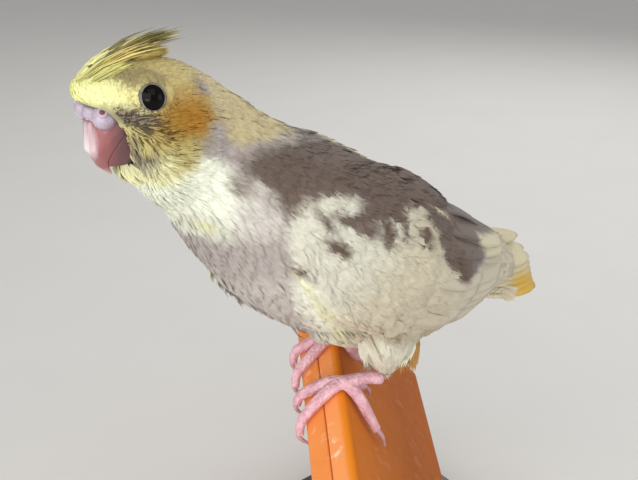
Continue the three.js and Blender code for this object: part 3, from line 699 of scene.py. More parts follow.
FACE_SPOTS = [
    (KHAKI, (-46, 98), (13, 6.5), 10, 0.5),
    (YELLOW, (-66, 95), (9.0, 9), 0, 0.5),
    (CHEEK, (-52, 83), (6.5, 7), 30, 0.6),
    (BUTTER, (-52.5, 75.0), (6.0, 3.6), 40, 0.7),
    (OLIVE, (-57.0, 98.1), (3.6, 2.0), 10, 0.6),
    (GREY, (-41.4, 93.6), (2.0, 1.7), 25, 0.6),
    (OLIVE, (-52.2, 97.4), (2.4, 1.2), 20, 0.8),
    (GREY, (-43.2, 83.0), (3.0, 1.8), 30, 0.8),
    (GREY, (-54.4, 79.4), (1.8, 2.6), 10, 0.8),
    (BUTTER, (-52.6, 79.6), (1.0, 2.0), 20, 0.9),
    # A thin dark line behind the gape is painted shade in the fold there
    (DARK_GREY, (-56.2, 82.2), (0.35, 4.0), -15, 0.9),
    (DARK_GREY, (-57.2, 90.0), (5.6, 2.1), 15, 0.7),
    (EAR_YELLOW, (-50.2, 88.2), (4.6, 4.0), 20, 0.6),
    (ORANGE, (-46.0, 89.3), (5.9, 4.3), 8, 0.55),
    (GREY, (-38.9, 87.0), (1.1, 1.8), 20, 0.6),
]


def plain(colour, points):
    """One colour at every point."""
    return np.repeat(linear(colour)[None], len(points), 0)


def blend(colour, tint, share):
    """Lay a colour over others by a share at each point."""
    return colour * (1 - share[:, None]) + linear(tint) * share[:, None]


def spotted(points, colour, spots):
    """Lay spots over a colour, in order."""
    for tint, middle, half, tilt, edge in spots:
        colour = blend(colour, tint, oval(points, middle, half, tilt, edge))
    return colour


def markings(points):
    """The colour of the bird at points in millimetres from the ridge."""
    x, y, z = points.T
    side = np.abs(y)
    colour = plain(TAUPE, points)
    colour = blend(colour, PALE_TAUPE, ramp(z, 52, 40) * 0.6)
    colour = blend(colour, WHITE, outlined(points, THROAT, 1.6, 1.2))
    colour = blend(colour, TAN, outlined(points, NAPE, 1.5))
    cape = outlined(points, CAPE, 1.4, 1.0)
    colour = blend(colour, BROWN_GREY, cape * (0.45 + 0.55 * ramp(x, -37, -31) * ramp(z, 79.5, 76.5)))
    panel = outlined(points, PANEL, 0.8, 0.6)
    colour = blend(colour, WING_WHITE, panel)
    colour = blend(colour, WARM_WHITE, panel * ramp(x + 0.9 * (48 - z), -14, 10))
    colour = blend(colour, WHITE, outlined(points, BELLY, 1.2) * 0.9)
    colour = blend(colour, BUTTER, outlined(points, RIM, 0.7) * 0.8)
    colour = blend(colour, CREAM, outlined(points, REAR, 0.8))
    colour = spotted(points, colour, SPOTS)
    colour = blend(colour, WHITE, oval(points, *FLANK) * (y > 4))
    ridge = np.hypot((x - 5.0) / 11.0, side / 7.2) + 0.2 * wobble(points, 3.6)
    stripe = ramp(ridge, 1.3, 0.75) * ramp(z, 56, 60) * 0.8
    colour = blend(colour, CREAM, stripe)
    colour = blend(colour, FLUFF, ramp(z + 0.3 * x, 21, 17) * ramp(x, -8, -2) * ramp(x, 44, 36))
    mask = outlined(points, FACE_MASK, 1.7, 1.2)
    face = spotted(points, plain(DULL_YELLOW, points), FACE_SPOTS)
    colour = colour * (1 - mask[:, None]) + face * mask[:, None]
    return colour


def streaks(points):
    """The share of barbs that are dark streaks at points in millimetres from the ridge."""
    lores = oval(points, (-57.9, 89.4), (5.2, 2.4), 10, 0.5) * 0.6
    under_eye = oval(points, (-54.0, 87.0), (4.2, 1.8), 15, 0.5) * 0.45
    ear = oval(points, (-46.0, 89.3), (6.3, 4.3), 8, 0.4) * 0.06
    gape = oval(points, *GAPE) * 0.12
    cheek = oval(points, (-50.0, 82.0), (7.0, 6.0), 20, 0.5) * 0.04
    return np.max([lores, under_eye, ear, gape, cheek], 0)


print("spots:", len(SPOTS) + len(FACE_SPOTS))

# %% [markdown]
# ## The lie of the coat
#
# Feathers point away from the bill over the face, and from there down the body toward the
# tail. On the thighs they hang. The way at any place is one of these, or a blend where
# they meet, laid flat on the skin.

# %% Comb the coat
SPINE_X = (-66, -52, -38, -24, 0, 24, 50, 90)
SPINE_PITCH = (-12, 4, 31, 43, 40, 31, 21, 14)
BILL_ROOT = np.array([-67.0, 0.0, 85.0])


def on_thigh(points):
    """1 on the thighs, 0 elsewhere."""
    x, y, z = points.T
    near = ramp(np.abs(y), 5, 8) * ramp(z + 0.2 * np.abs(x - 12), 24, 18)
    return near * ramp(x, 1, 5) * ramp(x, 27, 22)


def lie(points, normals):
    """The way that feathers point at places in millimetres, flat on the skin."""
    pitch = np.radians(np.interp(points[:, 0], SPINE_X, SPINE_PITCH))
    way = np.stack([np.cos(pitch), np.zeros_like(pitch), -np.sin(pitch)], 1)
    from_bill = points - BILL_ROOT
    share = ramp(np.linalg.norm(from_bill, axis=1), 34, 16)[:, None]
    way = unit(way * (1 - share) + unit(from_bill) * share)
    hang = np.maximum(on_thigh(points), 0.9 * oval(points, *GAPE))[:, None]
    way = way * (1 - hang) + np.array([0.1, 0.0, -1.0]) * hang
    way = way - normals * (way * normals).sum(1, keepdims=True)
    return unit(way)


print("combed")

# %% [markdown]
# ## One barb, many times
#
# Every small feather is a spray of barbs, and a barb is a long thin wedge with a point. It
# is modelled once, by pulling a triangle out in two steps, and its corners are then
# copied by arrays to wherever a feather grows. A closed wedge keeps the coat solid.

# %% Model one barb
BARB_ROOT = 0.3
BARB_WIDER = 1.55
BARB_BODY = 0.6
BARB_FLAT = 0.32


def model_barb():
    """A pointed wedge one unit long, as corners (across, height, along) and triangles."""
    circle = dict(vertices=3, radius=BARB_ROOT, fill_type="NGON", rotation=(0, 0, math.pi))
    barb = add(bpy.ops.mesh.primitive_circle_add, "barb", **circle)
    widen = (bpy.ops.transform.resize, {"value": (BARB_WIDER, BARB_WIDER, 1)})
    point = (bpy.ops.mesh.merge, {"type": "CENTER"})
    edit(barb, extrude(0, 0, BARB_BODY), widen, extrude(0, 0, 1 - BARB_BODY), point, ALL, OUTWARD)
    edit(barb, (bpy.ops.mesh.quads_convert_to_tris, {}))
    return take_form(barb)


BARB, BARB_FACES = model_barb()
print("one barb:", len(BARB), "corners,", len(BARB_FACES), "triangles")

# %% [markdown]
# Feathers are spread evenly, as on a real skin, by dropping many points and keeping one in
# each small cell of space. A tuft is then a fan of barbs. They share a root and the lie of
# the coat, rise a little, and bend back down to the skin.

# %% Scatter roots and grow tufts


def scatter(spacing, where, seed):
    """Evenly spread roots, where the given share allows, with what each needs to know."""
    rng = np.random.default_rng(seed)
    wanted = int(SKIN["areas"].sum() / spacing**2 * 4)
    share = SKIN["areas"] / SKIN["areas"].sum()
    chosen = rng.choice(len(share), wanted, p=share)
    a, b = rng.random((2, wanted))
    over = a + b > 1
    a[over] = 1 - a[over]
    b[over] = 1 - b[over]
    weights = np.stack([1 - a - b, a, b], 1)[:, :, None]
    roots = {
        "place": (SKIN["places"][chosen] * weights).sum(1),
        "normal": unit((SKIN["normals"][chosen] * weights).sum(1)),
        "layout": (SKIN["layout"][chosen] * weights).sum(1),
        "wing": (SKIN["wing"][chosen] * weights[:, :, 0]).sum(1),
    }
    kept = rng.random(wanted) < where(from_ridge(roots["place"]), roots["normal"], roots["wing"])
    cell = np.floor(roots["place"][kept] / (spacing * MM)).astype(int)
    first = np.unique(cell, axis=0, return_index=True)[1]
    return {key: value[kept][first] for key, value in roots.items()}


# Round an eye, in millimetres from its middle: between which distances feathers come to face
# outward and to turn aside, where the bare rim ends, and within which they are short
FACES_OUT = (6.0, 4.0)
TURNS_ASIDE = (7.5, 3.8)
RIM_END = 3.1
SHORT_WITHIN = 4.6
SHORT_LENGTH = 1.3
LEAST_LENGTH = 0.35
CUT_WITHIN = 9


def calm_by_eyes(points, normals):
    """Near an eye the skin dips to the lids, and feathers there face outward with the rest of the head."""
    for eye, way in zip(EYES, EYE_WAYS):
        out = points - eye
        distance = np.linalg.norm(out, axis=1, keepdims=True)
        share = ramp(distance, *FACES_OUT)
        normals = normals * (1 - share) + unit(0.7 * way + 0.3 * out / distance) * share
    return unit(normals)


def facing_out(corners, triangles, own, soft):
    """A normal for each corner of each triangle: the skin's, but the triangle's own on its hidden side."""
    first, second, third = corners[triangles].transpose(1, 0, 2)
    flat = unit(np.cross(second - first, third - first))
    normals = unit(0.2 * own + 0.8 * soft)[triangles]
    hidden = (flat * soft[triangles].sum(1)).sum(1) < 0
    normals[hidden] = flat[hidden][:, None]
    return normals.reshape(-1, 3)


def build(name, corners, triangles, layout, colours, reach, chance, normals=None):
    """A mesh object from arrays, with its layout on the skin and its attributes."""
    mesh = bpy.data.meshes.new(name)
    mesh.vertices.add(len(corners))
    mesh.vertices.foreach_set("co", corners.astype(np.float32).ravel())
    mesh.loops.add(triangles.size)
    mesh.loops.foreach_set("vertex_index", triangles.astype(np.int32).ravel())
    mesh.polygons.add(len(triangles))
    mesh.polygons.foreach_set("loop_start", np.arange(len(triangles), dtype=np.int32) * 3)
    mesh.polygons.foreach_set("use_smooth", np.ones(len(triangles), bool))
    mesh.update(calc_edges=True)
    mesh.uv_layers.new(name=BAKE_MAP)
    mesh.uv_layers[BAKE_MAP].data.foreach_set("uv", layout[triangles.ravel()].astype(np.float32).ravel())
    store(mesh, "marking", "FLOAT_COLOR", "color", np.c_[colours, np.ones(len(colours))])
    store(mesh, "reach", "FLOAT", "value", reach)
    store(mesh, "chance", "FLOAT", "value", chance)
    if normals is not None:
        mesh.normals_split_custom_set(facing_out(corners, triangles, normals_of(mesh), normals))
    piece = bpy.data.objects.new(name, mesh)
    bpy.context.scene.collection.objects.link(piece)
    return piece


def round_the_eyes(points, way, lengths):
    """Turn the feathers by an eye aside, and cut short those that would cover it."""
    for eye in EYES:
        toward = eye - points
        distance = np.linalg.norm(toward, axis=1)
        toward = toward / distance[:, None]
        ahead = (way * toward).sum(1)
        way = unit(way - (0.9 * ramp(distance, *TURNS_ASIDE) * np.maximum(ahead, 0))[:, None] * toward)
        ahead = (way * toward).sum(1)
        room = np.where(ahead > 0.1, (distance - RIM_END) / np.maximum(ahead, 0.3), np.inf)
        cut = np.minimum(lengths, np.maximum(room, LEAST_LENGTH))
        lengths = np.where(distance < CUT_WITHIN, cut, lengths)
        lengths = np.where(distance < SHORT_WITHIN, np.minimum(lengths, SHORT_LENGTH), lengths)
    return way, lengths


def skin_below(roots, way, lengths):
    """How far the skin lies over each tuft's line, at its middle and its tip, and its way out there."""
    found = np.zeros((2, len(lengths)))
    facing = roots["normal"].copy()
    for row, share in enumerate((0.5, 1.0)):
        tips = roots["place"] + way * (lengths * share * MM)[:, None]
        for k, tip in enumerate(tips):
            nearest, _, face = SKIN_TREE.find_nearest(Vector(tip))[:3]
            facing[k] = SKIN["normals"][face].mean(0)
            found[row, k] = (np.array(nearest) - tip) @ roots["normal"][k] / MM
    limit = 0.45 * lengths
    agrees = (facing * roots["normal"]).sum(1, keepdims=True) > 0.2
    return np.clip(found, -limit, limit), np.where(agrees, facing, roots["normal"])


def barb_colours(points, colour, tint, rng):
    """A colour for every level of every barb: the marking there, a little lighter, darker or streaked."""
    tufts, barbs, levels = points.shape[:3]
    if colour is None:
        colour = markings(points.reshape(-1, 3)).reshape(tufts, barbs, levels, 3)
    else:
        colour = np.broadcast_to(colour[:, None, None], points.shape)
    tones = rng.standard_normal((tufts, barbs, 1, 1)) + 0.6 * rng.standard_normal((tufts, 1, 1, 1))
    dark = rng.random((tufts, barbs)) < streaks(points[:, :, -2].reshape(-1, 3)).reshape(tufts, barbs)
    return colour * np.where(dark[..., None, None], STREAK_SHADE, 1 + tint * tones)


def aim(points, roots, length, stray, rough, rng):
    """The way, the way aside and the length of each tuft."""
    normal = roots["normal"]
    way = roots["way"] if "way" in roots else lie(points, normal)
    lengths = np.broadcast_to(length, len(points)) * (1 + stray * rng.uniform(-1, 1, len(points)))
    way, lengths = round_the_eyes(points, way, lengths)
    turn = np.radians(TURN * rough * rng.standard_normal(len(points)))[:, None]
    way = way * np.cos(turn) + np.cross(normal, way) * np.sin(turn)
    return way, np.cross(normal, way), lengths


# A tuft's manners: how far it turns aside, in degrees, how much shorter its outer barbs are, how deep
# its roots go, how uneven its barbs lie and sway, how it arches across, and how wide it fans
TURN = 6
OUTER_SHORTER = 0.3
ROOT_DEPTH = 0.3
UNEVEN = 0.08
SWAY = 0.03
ARCH = 0.12
FAN = 0.9


def spray(q, reach_mm, lengths, below, loft, width, barb_width, rough, rng):
    """How far along, over and beside its root each corner of each barb lies, in millimetres."""
    across, height, along = BARB.T
    each = (*q.shape, 1)
    middle, tip = below[:, :, None, None]
    q = q[..., None]
    run = reach_mm[..., None] * along
    part = run / lengths[:, None, None]
    over_skin = middle * 4 * part * (1 - part) + tip * part * (2 * part - 1)
    lofts = loft * (1 + 0.25 * rough * rng.standard_normal((len(q), 1, 1)))
    rise = over_skin + lofts * (1 - (1 - part) ** 2) - ROOT_DEPTH * (1 - part)
    rise = rise + UNEVEN * rough * rng.standard_normal(each) * part
    rise = rise + height * barb_width * BARB_FLAT * 2 + ARCH * (1 - q**2) * part
    profile = 0.3 + 2.4 * part * (1 - 0.72 * part) * FAN
    sway = SWAY * rough * reach_mm[..., None] * along**2 * rng.standard_normal(each)
    return run, rise, q * width / 2 * profile + across * barb_width * 2 + sway


def grow(name, roots, seed, length, width, barbs=5, loft=0.9, stray=0.12, tint=0.03, rough=1.0, thick=1.5):
    """Tufts of barbs on roots, laid over the skin. Sizes are in millimetres."""
    rng = np.random.default_rng(seed)
    tufts = len(roots["place"])
    points = from_ridge(roots["place"])
    normal = roots["normal"] = calm_by_eyes(points, roots["normal"])
    way, aside, lengths = aim(points, roots, length, stray, rough, rng)
    if "bend" in roots:
        below, facing = np.array([roots["bend"] / 4, roots["bend"]]), normal
    else:
        below, facing = skin_below(roots, way, lengths)

    # Each barb has a place across the tuft, from -1 to 1, and each of its corners a place along it
    q = np.linspace(-1, 1, barbs)[None, :] + 0.5 / barbs * rng.uniform(-1, 1, (tufts, barbs))
    strays = 1 + 0.6 * stray * rng.uniform(-1, 1, (tufts, barbs))
    reach_mm = lengths[:, None] * (1 - OUTER_SHORTER * q**2) * strays
    placed = spray(q, reach_mm, lengths, below, loft, width, width / barbs * thick, rough, rng)
    run, rise, offset = [amount[..., None] for amount in placed]
    tuft_way, tuft_out, tuft_aside = [axis[:, None, None] for axis in (way, normal, aside)]
    shift = tuft_way * run + tuft_out * rise + tuft_aside * offset
    corners = roots["place"][:, None, None] + MM * shift

    # Where each corner lies on the layout, its colour and its normal
    across, height, along = BARB.T
    each = (tufts, barbs, len(BARB))
    t = along[None, None, :]
    local = np.stack(np.broadcast_arrays(0.42 * q[..., None] + 0.08 * across, t - 0.5), -1)
    layout = roots["layout"][:, None, None] + BAKE_PATCH * local * 0.9
    chance = np.broadcast_to(rng.random((tufts, barbs, 1)), each).ravel()
    levels, level = np.unique(np.round(along, 3), return_inverse=True)
    seen = points[:, None] + aside[:, None] * (q * width / 2)[..., None] + rng.normal(0, 0.3, (tufts, 1, 3))
    seen = seen[:, :, None] + tuft_way * (reach_mm[..., None] * levels)[..., None]
    tints = barb_colours(seen, roots.get("colour"), tint, rng)[:, :, level]
    turned = np.minimum(t[..., None], 0.9)
    soft = np.broadcast_to(tuft_out * (1 - turned) + facing[:, None, None] * turned, corners.shape)
    flat = [values.reshape(-1, values.shape[-1]) for values in (corners, layout, tints, soft)]
    triangles = (BARB_FACES[None] + np.arange(tufts * barbs)[:, None, None] * len(BARB)).reshape(-1, 3)
    reach = np.broadcast_to(t, each).ravel()
    piece = build(name, flat[0], triangles, flat[1], flat[2], reach, chance, flat[3])
    print(name + ":", tufts, "tufts,", len(triangles), "triangles")
    return piece


# %% [markdown]
# ## The finish of feathers
#
# A barb is a little darker at its root, where it lies in its neighbours' shade, and no two
# are quite alike. Feathers scatter light at a glancing angle, which a soft sheen gives.

# %% Finish the skin and the coat


def feather_finish():
    soft = {"Sheen Weight": 0.05, "Sheen Roughness": 0.5, "Specular IOR Level": 0.2}
    finish = Finish("small feathers", 0.75, soft)
    # Painted shade: each barb is painted darker toward its root, where its neighbours shade it
    depth = finish.attribute("reach") * 0.2 + 0.84
    speck = finish.attribute("chance") * 0.12 + 0.94
    cloud = finish.noise(0.6, 3) * 0.12 + 0.94
    finish.shade_marking(depth * speck * cloud)
    return finish.material


def skin_finish():
    finish = Finish("skin under the coat", 0.8)
    # Painted shade: the skin is painted darker than the marking, for the shade under the coat
    finish.shade_marking(finish.noise(1.2, 4) * 0.2 + 0.72)
    finish.bump(finish.noise(0.5, 3), 0.1)
    return finish.material


feathers = feather_finish()
skin_colour = markings(from_ridge(corners_of(skin.data)))
store(skin.data, "marking", "FLOAT_COLOR", "color", np.c_[skin_colour, np.ones(len(skin_colour))])
settle(skin, skin_finish(), "body_feathers", "head", "neck", "torso", "thigh_left", "thigh_right")
print("skin painted")

# %% [markdown]
# ## The coat
#
# The feathers are smallest on the face and grow longer down the body. Each region has its
# own size, number of barbs and looseness, and the regions overlap a little, so that no line
# shows between them.

# %% Grow the coat


def along_body(points):
    """How far back a point lies from the bill, along the slope of the body, in millimetres."""
    return (points[:, 0] + 60) * 0.766 + (88 - points[:, 2]) * 0.643


FACE_MIDDLE = np.array([-60.0, 0.0, 87.0])
NOSTRIL = np.array([-62.4, -6.1, 90.8])
NOSTRIL_OUT = unit(np.array([[-0.42, -0.68, 0.60]]))[0]
NOSTRIL_RADIUS = 0.85
BULGE_RADIUS = 2.6
BULGE = NOSTRIL - NOSTRIL_OUT * (BULGE_RADIUS - 0.25)
BARE_RIM = 3.3


def clear_of_eyes(points):
    """0 over the eyes and their bare rims, 1 elsewhere."""
    near = np.min([np.linalg.norm(points - eye, axis=1) for eye in EYES], 0)
    return (near > BARE_RIM).astype(float)


def clear_of_bill(points):
    """0 where the bill and the cere stand, 1 elsewhere."""
    x, y, z = points.T
    mirrored = points * (1, 0, 1) - np.abs(points) * (0, 1, 0)
    on_cere = np.linalg.norm(mirrored - BULGE, axis=1) < BULGE_RADIUS + 1.3
    return 1 - (((x < -59.5) & (z < 90.8) & (np.abs(y) < 7)) | on_cere).astype(float)


def clear(points):
    """0 where no feather may grow on the head, 1 elsewhere."""
    return clear_of_eyes(points) * clear_of_bill(points)


def from_face(points):
    """How far a point lies from the middle of the face, in millimetres."""
    return np.linalg.norm(points - FACE_MIDDLE, axis=1)


def along_crown(points):
    """A height that rises across the line from the nape to the brow."""
    return points[:, 2] + 0.35 * points[:, 0]


def on_head(points):
    """1 on the head, 0 on the body, across a slanting line behind the cheek."""
    past = (points[:, 0] + 41) * 0.84 - (points[:, 2] - 78) * 0.54
    return ramp(past + 1.5 * wobble(points, 4), 3, -4)


def brow(points, normals, wing):
    return oval(points, (-63.8, 98.2), (4.5, 3.4), -20, 0.2) * clear_of_bill(points)


def face(points, normals, wing):
    return ramp(from_face(points), 19, 14) * clear(points) * (1 - brow(points, normals, wing))


def crown(points, normals, wing):
    upper = ramp(along_crown(points), 74, 77)
    return on_head(points) * ramp(from_face(points), 14.5, 18) * clear(points) * upper


def cheek(points, normals, wing):
    low = ramp(points[:, 2], 93, 90) * ramp(along_crown(points), 77, 74)
    return on_head(points) * ramp(from_face(points), 9, 13) * clear(points) * low


def chin(points, normals, wing):
    x, y, z = points.T
    return ramp(z, 82, 79) * ramp(z, 73, 75) * ramp(x, -50, -52) * (np.abs(y) < 11) * clear_of_bill(points)


def gape(points, normals, wing):
    return oval(points, *GAPE) * (np.abs(points[:, 1]) > 5)


def flank(points, normals, wing):
    return oval(points, *FLANK) * (points[:, 1] > 4)


def belly(points, normals, wing):
    x, y, z = points.T
    under = ramp(x, -13, -7) * ramp(x, 15, 10) * (z < 24) * (np.abs(y + 2) < 12) * (normals[:, 2] < -0.25)
    return under * (1 - on_thigh(points))


def neck(points, normals, wing):
    return (1 - on_head(points)) * ramp(along_body(points), 52, 46) * (wing < 0.5)


def past_neck(points, wing):
    """1 on the body behind the neck, beside the wings and before the rump."""
    return ramp(along_body(points), 44, 50) * ramp(points[:, 0], 66, 60) * (wing < 0.5)


def breast(points, normals, wing):
    return past_neck(points, wing) * (normals[:, 2] < 0.35) * (1 - on_thigh(points))


def mantle(points, normals, wing):
    return past_neck(points, wing) * (normals[:, 2] >= 0.35)


def thigh(points, normals, wing):
    return on_thigh(points) * (normals[:, 2] > -0.65)


def rump(points, normals, wing):
    under = (normals[:, 2] < -0.2) & (points[:, 0] > 60)
    return ramp(points[:, 0], 56, 61) * (wing < 0.5) * (normals @ TAIL_BACK < 0.5) * ~under


def coverts(side, first, last):
    """The wing of one side, from one slanting line of its length to another."""

    def where(points, normals, wing):
        back = points[:, 0] + 0.2 * (60 - points[:, 2])
        on_wing = (wing > 0.3) * ramp(back, first - 4, first) * ramp(back, last + 4, last)
        return on_wing * (points[:, 1] * side > 0)

    return where


# Each region: where it grows, how far its roots are apart, and the length, width, barbs, loft,
# thickness, stray, tint and roughness of its tufts
COAT = {
    "face": (face, 0.6, 1.8, 0.95, 4, 0.12, 1.6, 0.12, 0.03, 0.5),
    "crown": (crown, 0.8, 3.0, 1.5, 6, 0.35, 1.8, 0.12, 0.03, 0.6),
    "cheek": (cheek, 0.85, 5.0, 1.5, 9, 0.5, 1.7, 0.2, 0.03, 0.7),
    "chin": (chin, 0.85, 4.4, 1.5, 8, 0.7, 1.8, 0.25, 0.03, 0.6),
    "gape": (gape, 0.8, 4.4, 1.1, 7, 1.0, 1.5, 0.3, 0.03, 1.0),
    "flank": (flank, 1.4, 8.0, 2.8, 9, 2.6, 2.1, 0.12, 0.03, 1.0),
    "neck": (neck, 1.26, 6.6, 2.3, 8, 0.65, 2.0, 0.2, 0.02, 0.7),
    "breast": (breast, 1.5, 7.5, 3.0, 9, 1.1, 2.1, 0.12, 0.02, 1.0),
    "mantle": (mantle, 1.6, 8.0, 3.6, 10, 0.9, 2.2, 0.12, 0.02, 1.0),
    "thighs": (thigh, 1.3, 6.0, 2.4, 8, 0.8, 2.0, 0.2, 0.02, 1.0),
    "belly": (belly, 1.5, 7.5, 2.8, 9, 3.2, 2.0, 0.3, 0.02, 1.0),
    "brow": (brow, 0.5, 1.3, 0.8, 5, 0.03, 1.5, 0.12, 0.03, 0.4),
    "rump": (rump, 1.3, 7.5, 2.8, 9, 0.35, 2.2, 0.12, 0.02, 1.0),
    "shoulder_left": (coverts(-1, -60, 12), 1.45, 7.0, 3.4, 10, 0.9, 2.2, 0.12, 0.02, 1.0),
    "coverts_left": (coverts(-1, 9, 26), 1.7, 10.0, 4.4, 12, 1.7, 2.4, 0.12, 0.02, 0.6),
    "shoulder_right": (coverts(1, -60, 12), 1.45, 7.0, 3.4, 10, 0.9, 2.2, 0.12, 0.02, 1.0),
    "coverts_right": (coverts(1, 9, 26), 1.7, 10.0, 4.4, 12, 1.7, 2.4, 0.12, 0.02, 0.6),
}
LOOK = ("length", "width", "barbs", "loft", "thick", "stray", "tint", "rough")

for seed, (name, (where, spacing, *look)) in enumerate(COAT.items()):
    tufts = grow("coat_" + name, scatter(spacing, where, seed), seed + 100, **dict(zip(LOOK, look)))
    settle(tufts, feathers, "body_feathers")

# %% [markdown]
# Behind each leg hangs a loose tuft, painted a darker tan as painted shade from the body,
# and under the bill a beard of short feathers grows straight down and curls back to the
# throat. The feathers of such a tuft share one root, so their places are given instead of
# scattered.

# %% Hang the loose tufts
TUFT_ROOT = (21.0, 12.5, 14.5)
TUFT_LENGTH = 14.0
BEARD_ROOT = (-57.3, 0.0, 77.4)
BEARD_LENGTH = 5.6
BEARD_CURL = 2.6


def loose_roots(rng, places, ways, outs, colour):
    """Roots at places, each with the way that its feather points and the side that it faces."""
    count = len(places)
    ways = unit(ways + rng.normal(0, 0.07, (count, 3)))
    return {
        "place": ZERO + MM * places,
        "way": ways,
        "normal": unit(outs - ways * (outs * ways).sum(1, keepdims=True)),
        "bend": np.zeros(count),
        "layout": 0.5 + rng.normal(0, 0.01, (count, 2)),
        "colour": plain(colour, places),
    }


def leg_roots(rng, count):
    """Roots of the hanging feathers behind both legs."""
    sides = np.where(np.arange(count) % 2, 1, -1)
    places = np.array(TUFT_ROOT) + rng.normal(0, 1, (count, 3)) * (1.6, 1.0, 1.2)
    places[:, 1] *= sides
    outs = np.stack([-0.3 * np.ones(count), sides, 0.2 * np.ones(count)], 1)
    # Their colour is painted shade, a darker tan for the shade under the body
    return loose_roots(rng, places, np.tile([0.02, 0.0, -1.0], (count, 1)), outs, SHADED_TUFT_TAN)


def beard_roots(rng, count):
    """Roots of the feathers under the bill, which curl back to the throat."""
    y = rng.uniform(-4.2, 4.2, count)
    back = rng.uniform(-0.8, 3.4, count) + 0.06 * y**2
    places = np.array(BEARD_ROOT) + np.stack([back, y, 0.5 - 0.3 * back], 1)
    ways = np.stack([0.25 + 0.2 * back, 0.1 * y, -np.ones(count)], 1)
    outs = np.stack([-np.ones(count), 0.25 * y, np.zeros(count)], 1)
    roots = loose_roots(rng, places, ways, outs, PALE_YELLOW)
    roots["bend"] = np.full(count, -BEARD_CURL)
    return roots


hanging = {
    "coat_leg_tufts": (leg_roots, 90, 11, dict(length=TUFT_LENGTH, width=3.0, barbs=8, thick=2.0)),
    "coat_beard": (beard_roots, 230, 13, dict(length=BEARD_LENGTH, width=1.5, barbs=8, thick=1.8)),
}
for name, (roots_of, count, seed, look) in hanging.items():
    roots = roots_of(np.random.default_rng(seed), count)
    settle(grow(name, roots, seed + 1, **look), feathers, "body_feathers")

# %% [markdown]
# ## The eyes
#
# The eye is a glossy dark ball that sits deep in the head, with only a window of it between
# the lids. The lids are a bare, wrinkled ring of skin.

# %% Make the eyes and lids
LID_TALL = 2.95
LID_WIDE = 2.62
LID_BAND = 0.38
LID_THICK = 0.3


def eye_finish():
    finish = Finish("wet dark eye", 0.1, {"Specular IOR Level": 0.12})
    finish.cover(finish.between(finish.noise(0.5, 3), 0.35, 0.75), (4, 3, 3), (12, 8, 6))
    return finish.material


def lid_finish():
    finish = Finish("bare lids", 0.55, {"Subsurface Weight": 0.08})
    finish.cover(finish.between(finish.noise(0.9, 4), 0.3, 0.7), (92, 84, 72), (140, 130, 112))
    finish.bump(finish.cells(0.35) + finish.noise(0.3, 3) * 0.5, 0.12)
    return finish.material


def ball(name, place, radius, segments=48, rings=32):
    form = bpy.ops.mesh.primitive_uv_sphere_add
    return smooth(add(form, name, segments=segments, ring_count=rings, radius=radius * MM, location=place))


def ring(name, radius, thickness, segments, sides, **place):
    """A ring, with its sizes in millimetres."""
    radii = dict(major_radius=radius * MM, minor_radius=thickness * MM)
    facets = dict(major_segments=segments, minor_segments=sides)
    return add(bpy.ops.mesh.primitive_torus_add, name, **radii, **facets, **place)


def lids(name, place, outward):
    """A flat oval band of skin round the opening of the eye, laid on the ball."""
    band = ring(name, LID_TALL, LID_BAND, 64, 18)
    corners = corners_of(band.data) / MM
    corners[:, 0] *= LID_WIDE / LID_TALL
    out = np.minimum(np.hypot(corners[:, 0], corners[:, 1]), 3.05)
    corners[:, 2] = np.sqrt(EYE_RADIUS**2 - out**2) + corners[:, 2] * LID_THICK / LID_BAND + 0.06
    set_corners(band.data, corners * MM)
    band.rotation_euler = outward.to_track_quat("Z", "Y").to_euler()
    band.location = place
    bpy.ops.object.transform_apply()
    return smooth(band)


eye_look = eye_finish()
lid_look = lid_finish()
for side, place, way in zip(("left", "right"), EYE_PLACES, EYE_WAYS):
    settle(ball(f"eyeball_{side}", place, EYE_RADIUS), eye_look, "eye_gloss", f"eye_{side}")
    settle(lids(f"lids_{side}", place, Vector(way)), lid_look, "cere_skin")
print("eyes", EYE_RADIUS * 2, "mm across")

# %% [markdown]
# ## The bill, the cere and the claws
#
# These are horn and bare skin. Their solids have the right shape with few faces, so a copy
# is subdivided until it is smooth. Subdividing draws a form in a little, and the copy is
# grown back to its own box.

# %% Smooth the horn and the bare skin


def fit_to(piece, low, high):
    """Stretch a piece to fill a box."""
    corners = corners_of(piece.data)
    own_low = corners.min(0)
    own_high = corners.max(0)
    share = (corners - own_low) / (own_high - own_low)
    set_corners(piece.data, share * (np.array(high) - np.array(low)) + np.array(low))


def smoothed(node, name, grain=None):
    """A solid with its facets evened out: by a new mesh of a grain, or else by dividing its faces."""
    piece = copy_of(node, name)
    if grain:
        remesh(piece, grain, 3)
    else:
        modify(piece, "SUBSURF", levels=2, render_levels=2)
    fit_to(piece, *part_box(node))
    return smooth(piece)


def horn_finish(name, front, side, rear, tip):
    """Horn with a painted highlight as a pale band along its front ridge, pink on its side, mauve at the rear
    and creamy at the tip.
    """
    finish = Finish(name, 0.3, {"Subsurface Weight": 0.1})
    low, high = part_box("bill_upper")
    place = finish.place()
    x, z = [finish.node("ShaderNodeSeparateXYZ", {0: place}, axis) for axis in (0, 2)]
    back = (x - low.x) * (1 / (high.x - low.x))
    up = (z - low.z) * (1 / (high.z - low.z))
    grain = finish.noise(1.4, 5, stretch=(1, 1, 0.25))
    # The pale front band is a painted highlight, where the light falls on the front of the bill
    colour = finish.mix(finish.between(back + grain * 0.16, 0.05, 0.22), front, side)
    colour = finish.mix(finish.between(back + grain * 0.12, 0.34, 0.62), colour, rear)
    finish.cover(finish.between(up + grain * 0.1, 0.06, 0.2), tip, colour)
    finish.bump(grain + finish.noise(0.3, 3) * 0.3, 0.08)
    return finish.material


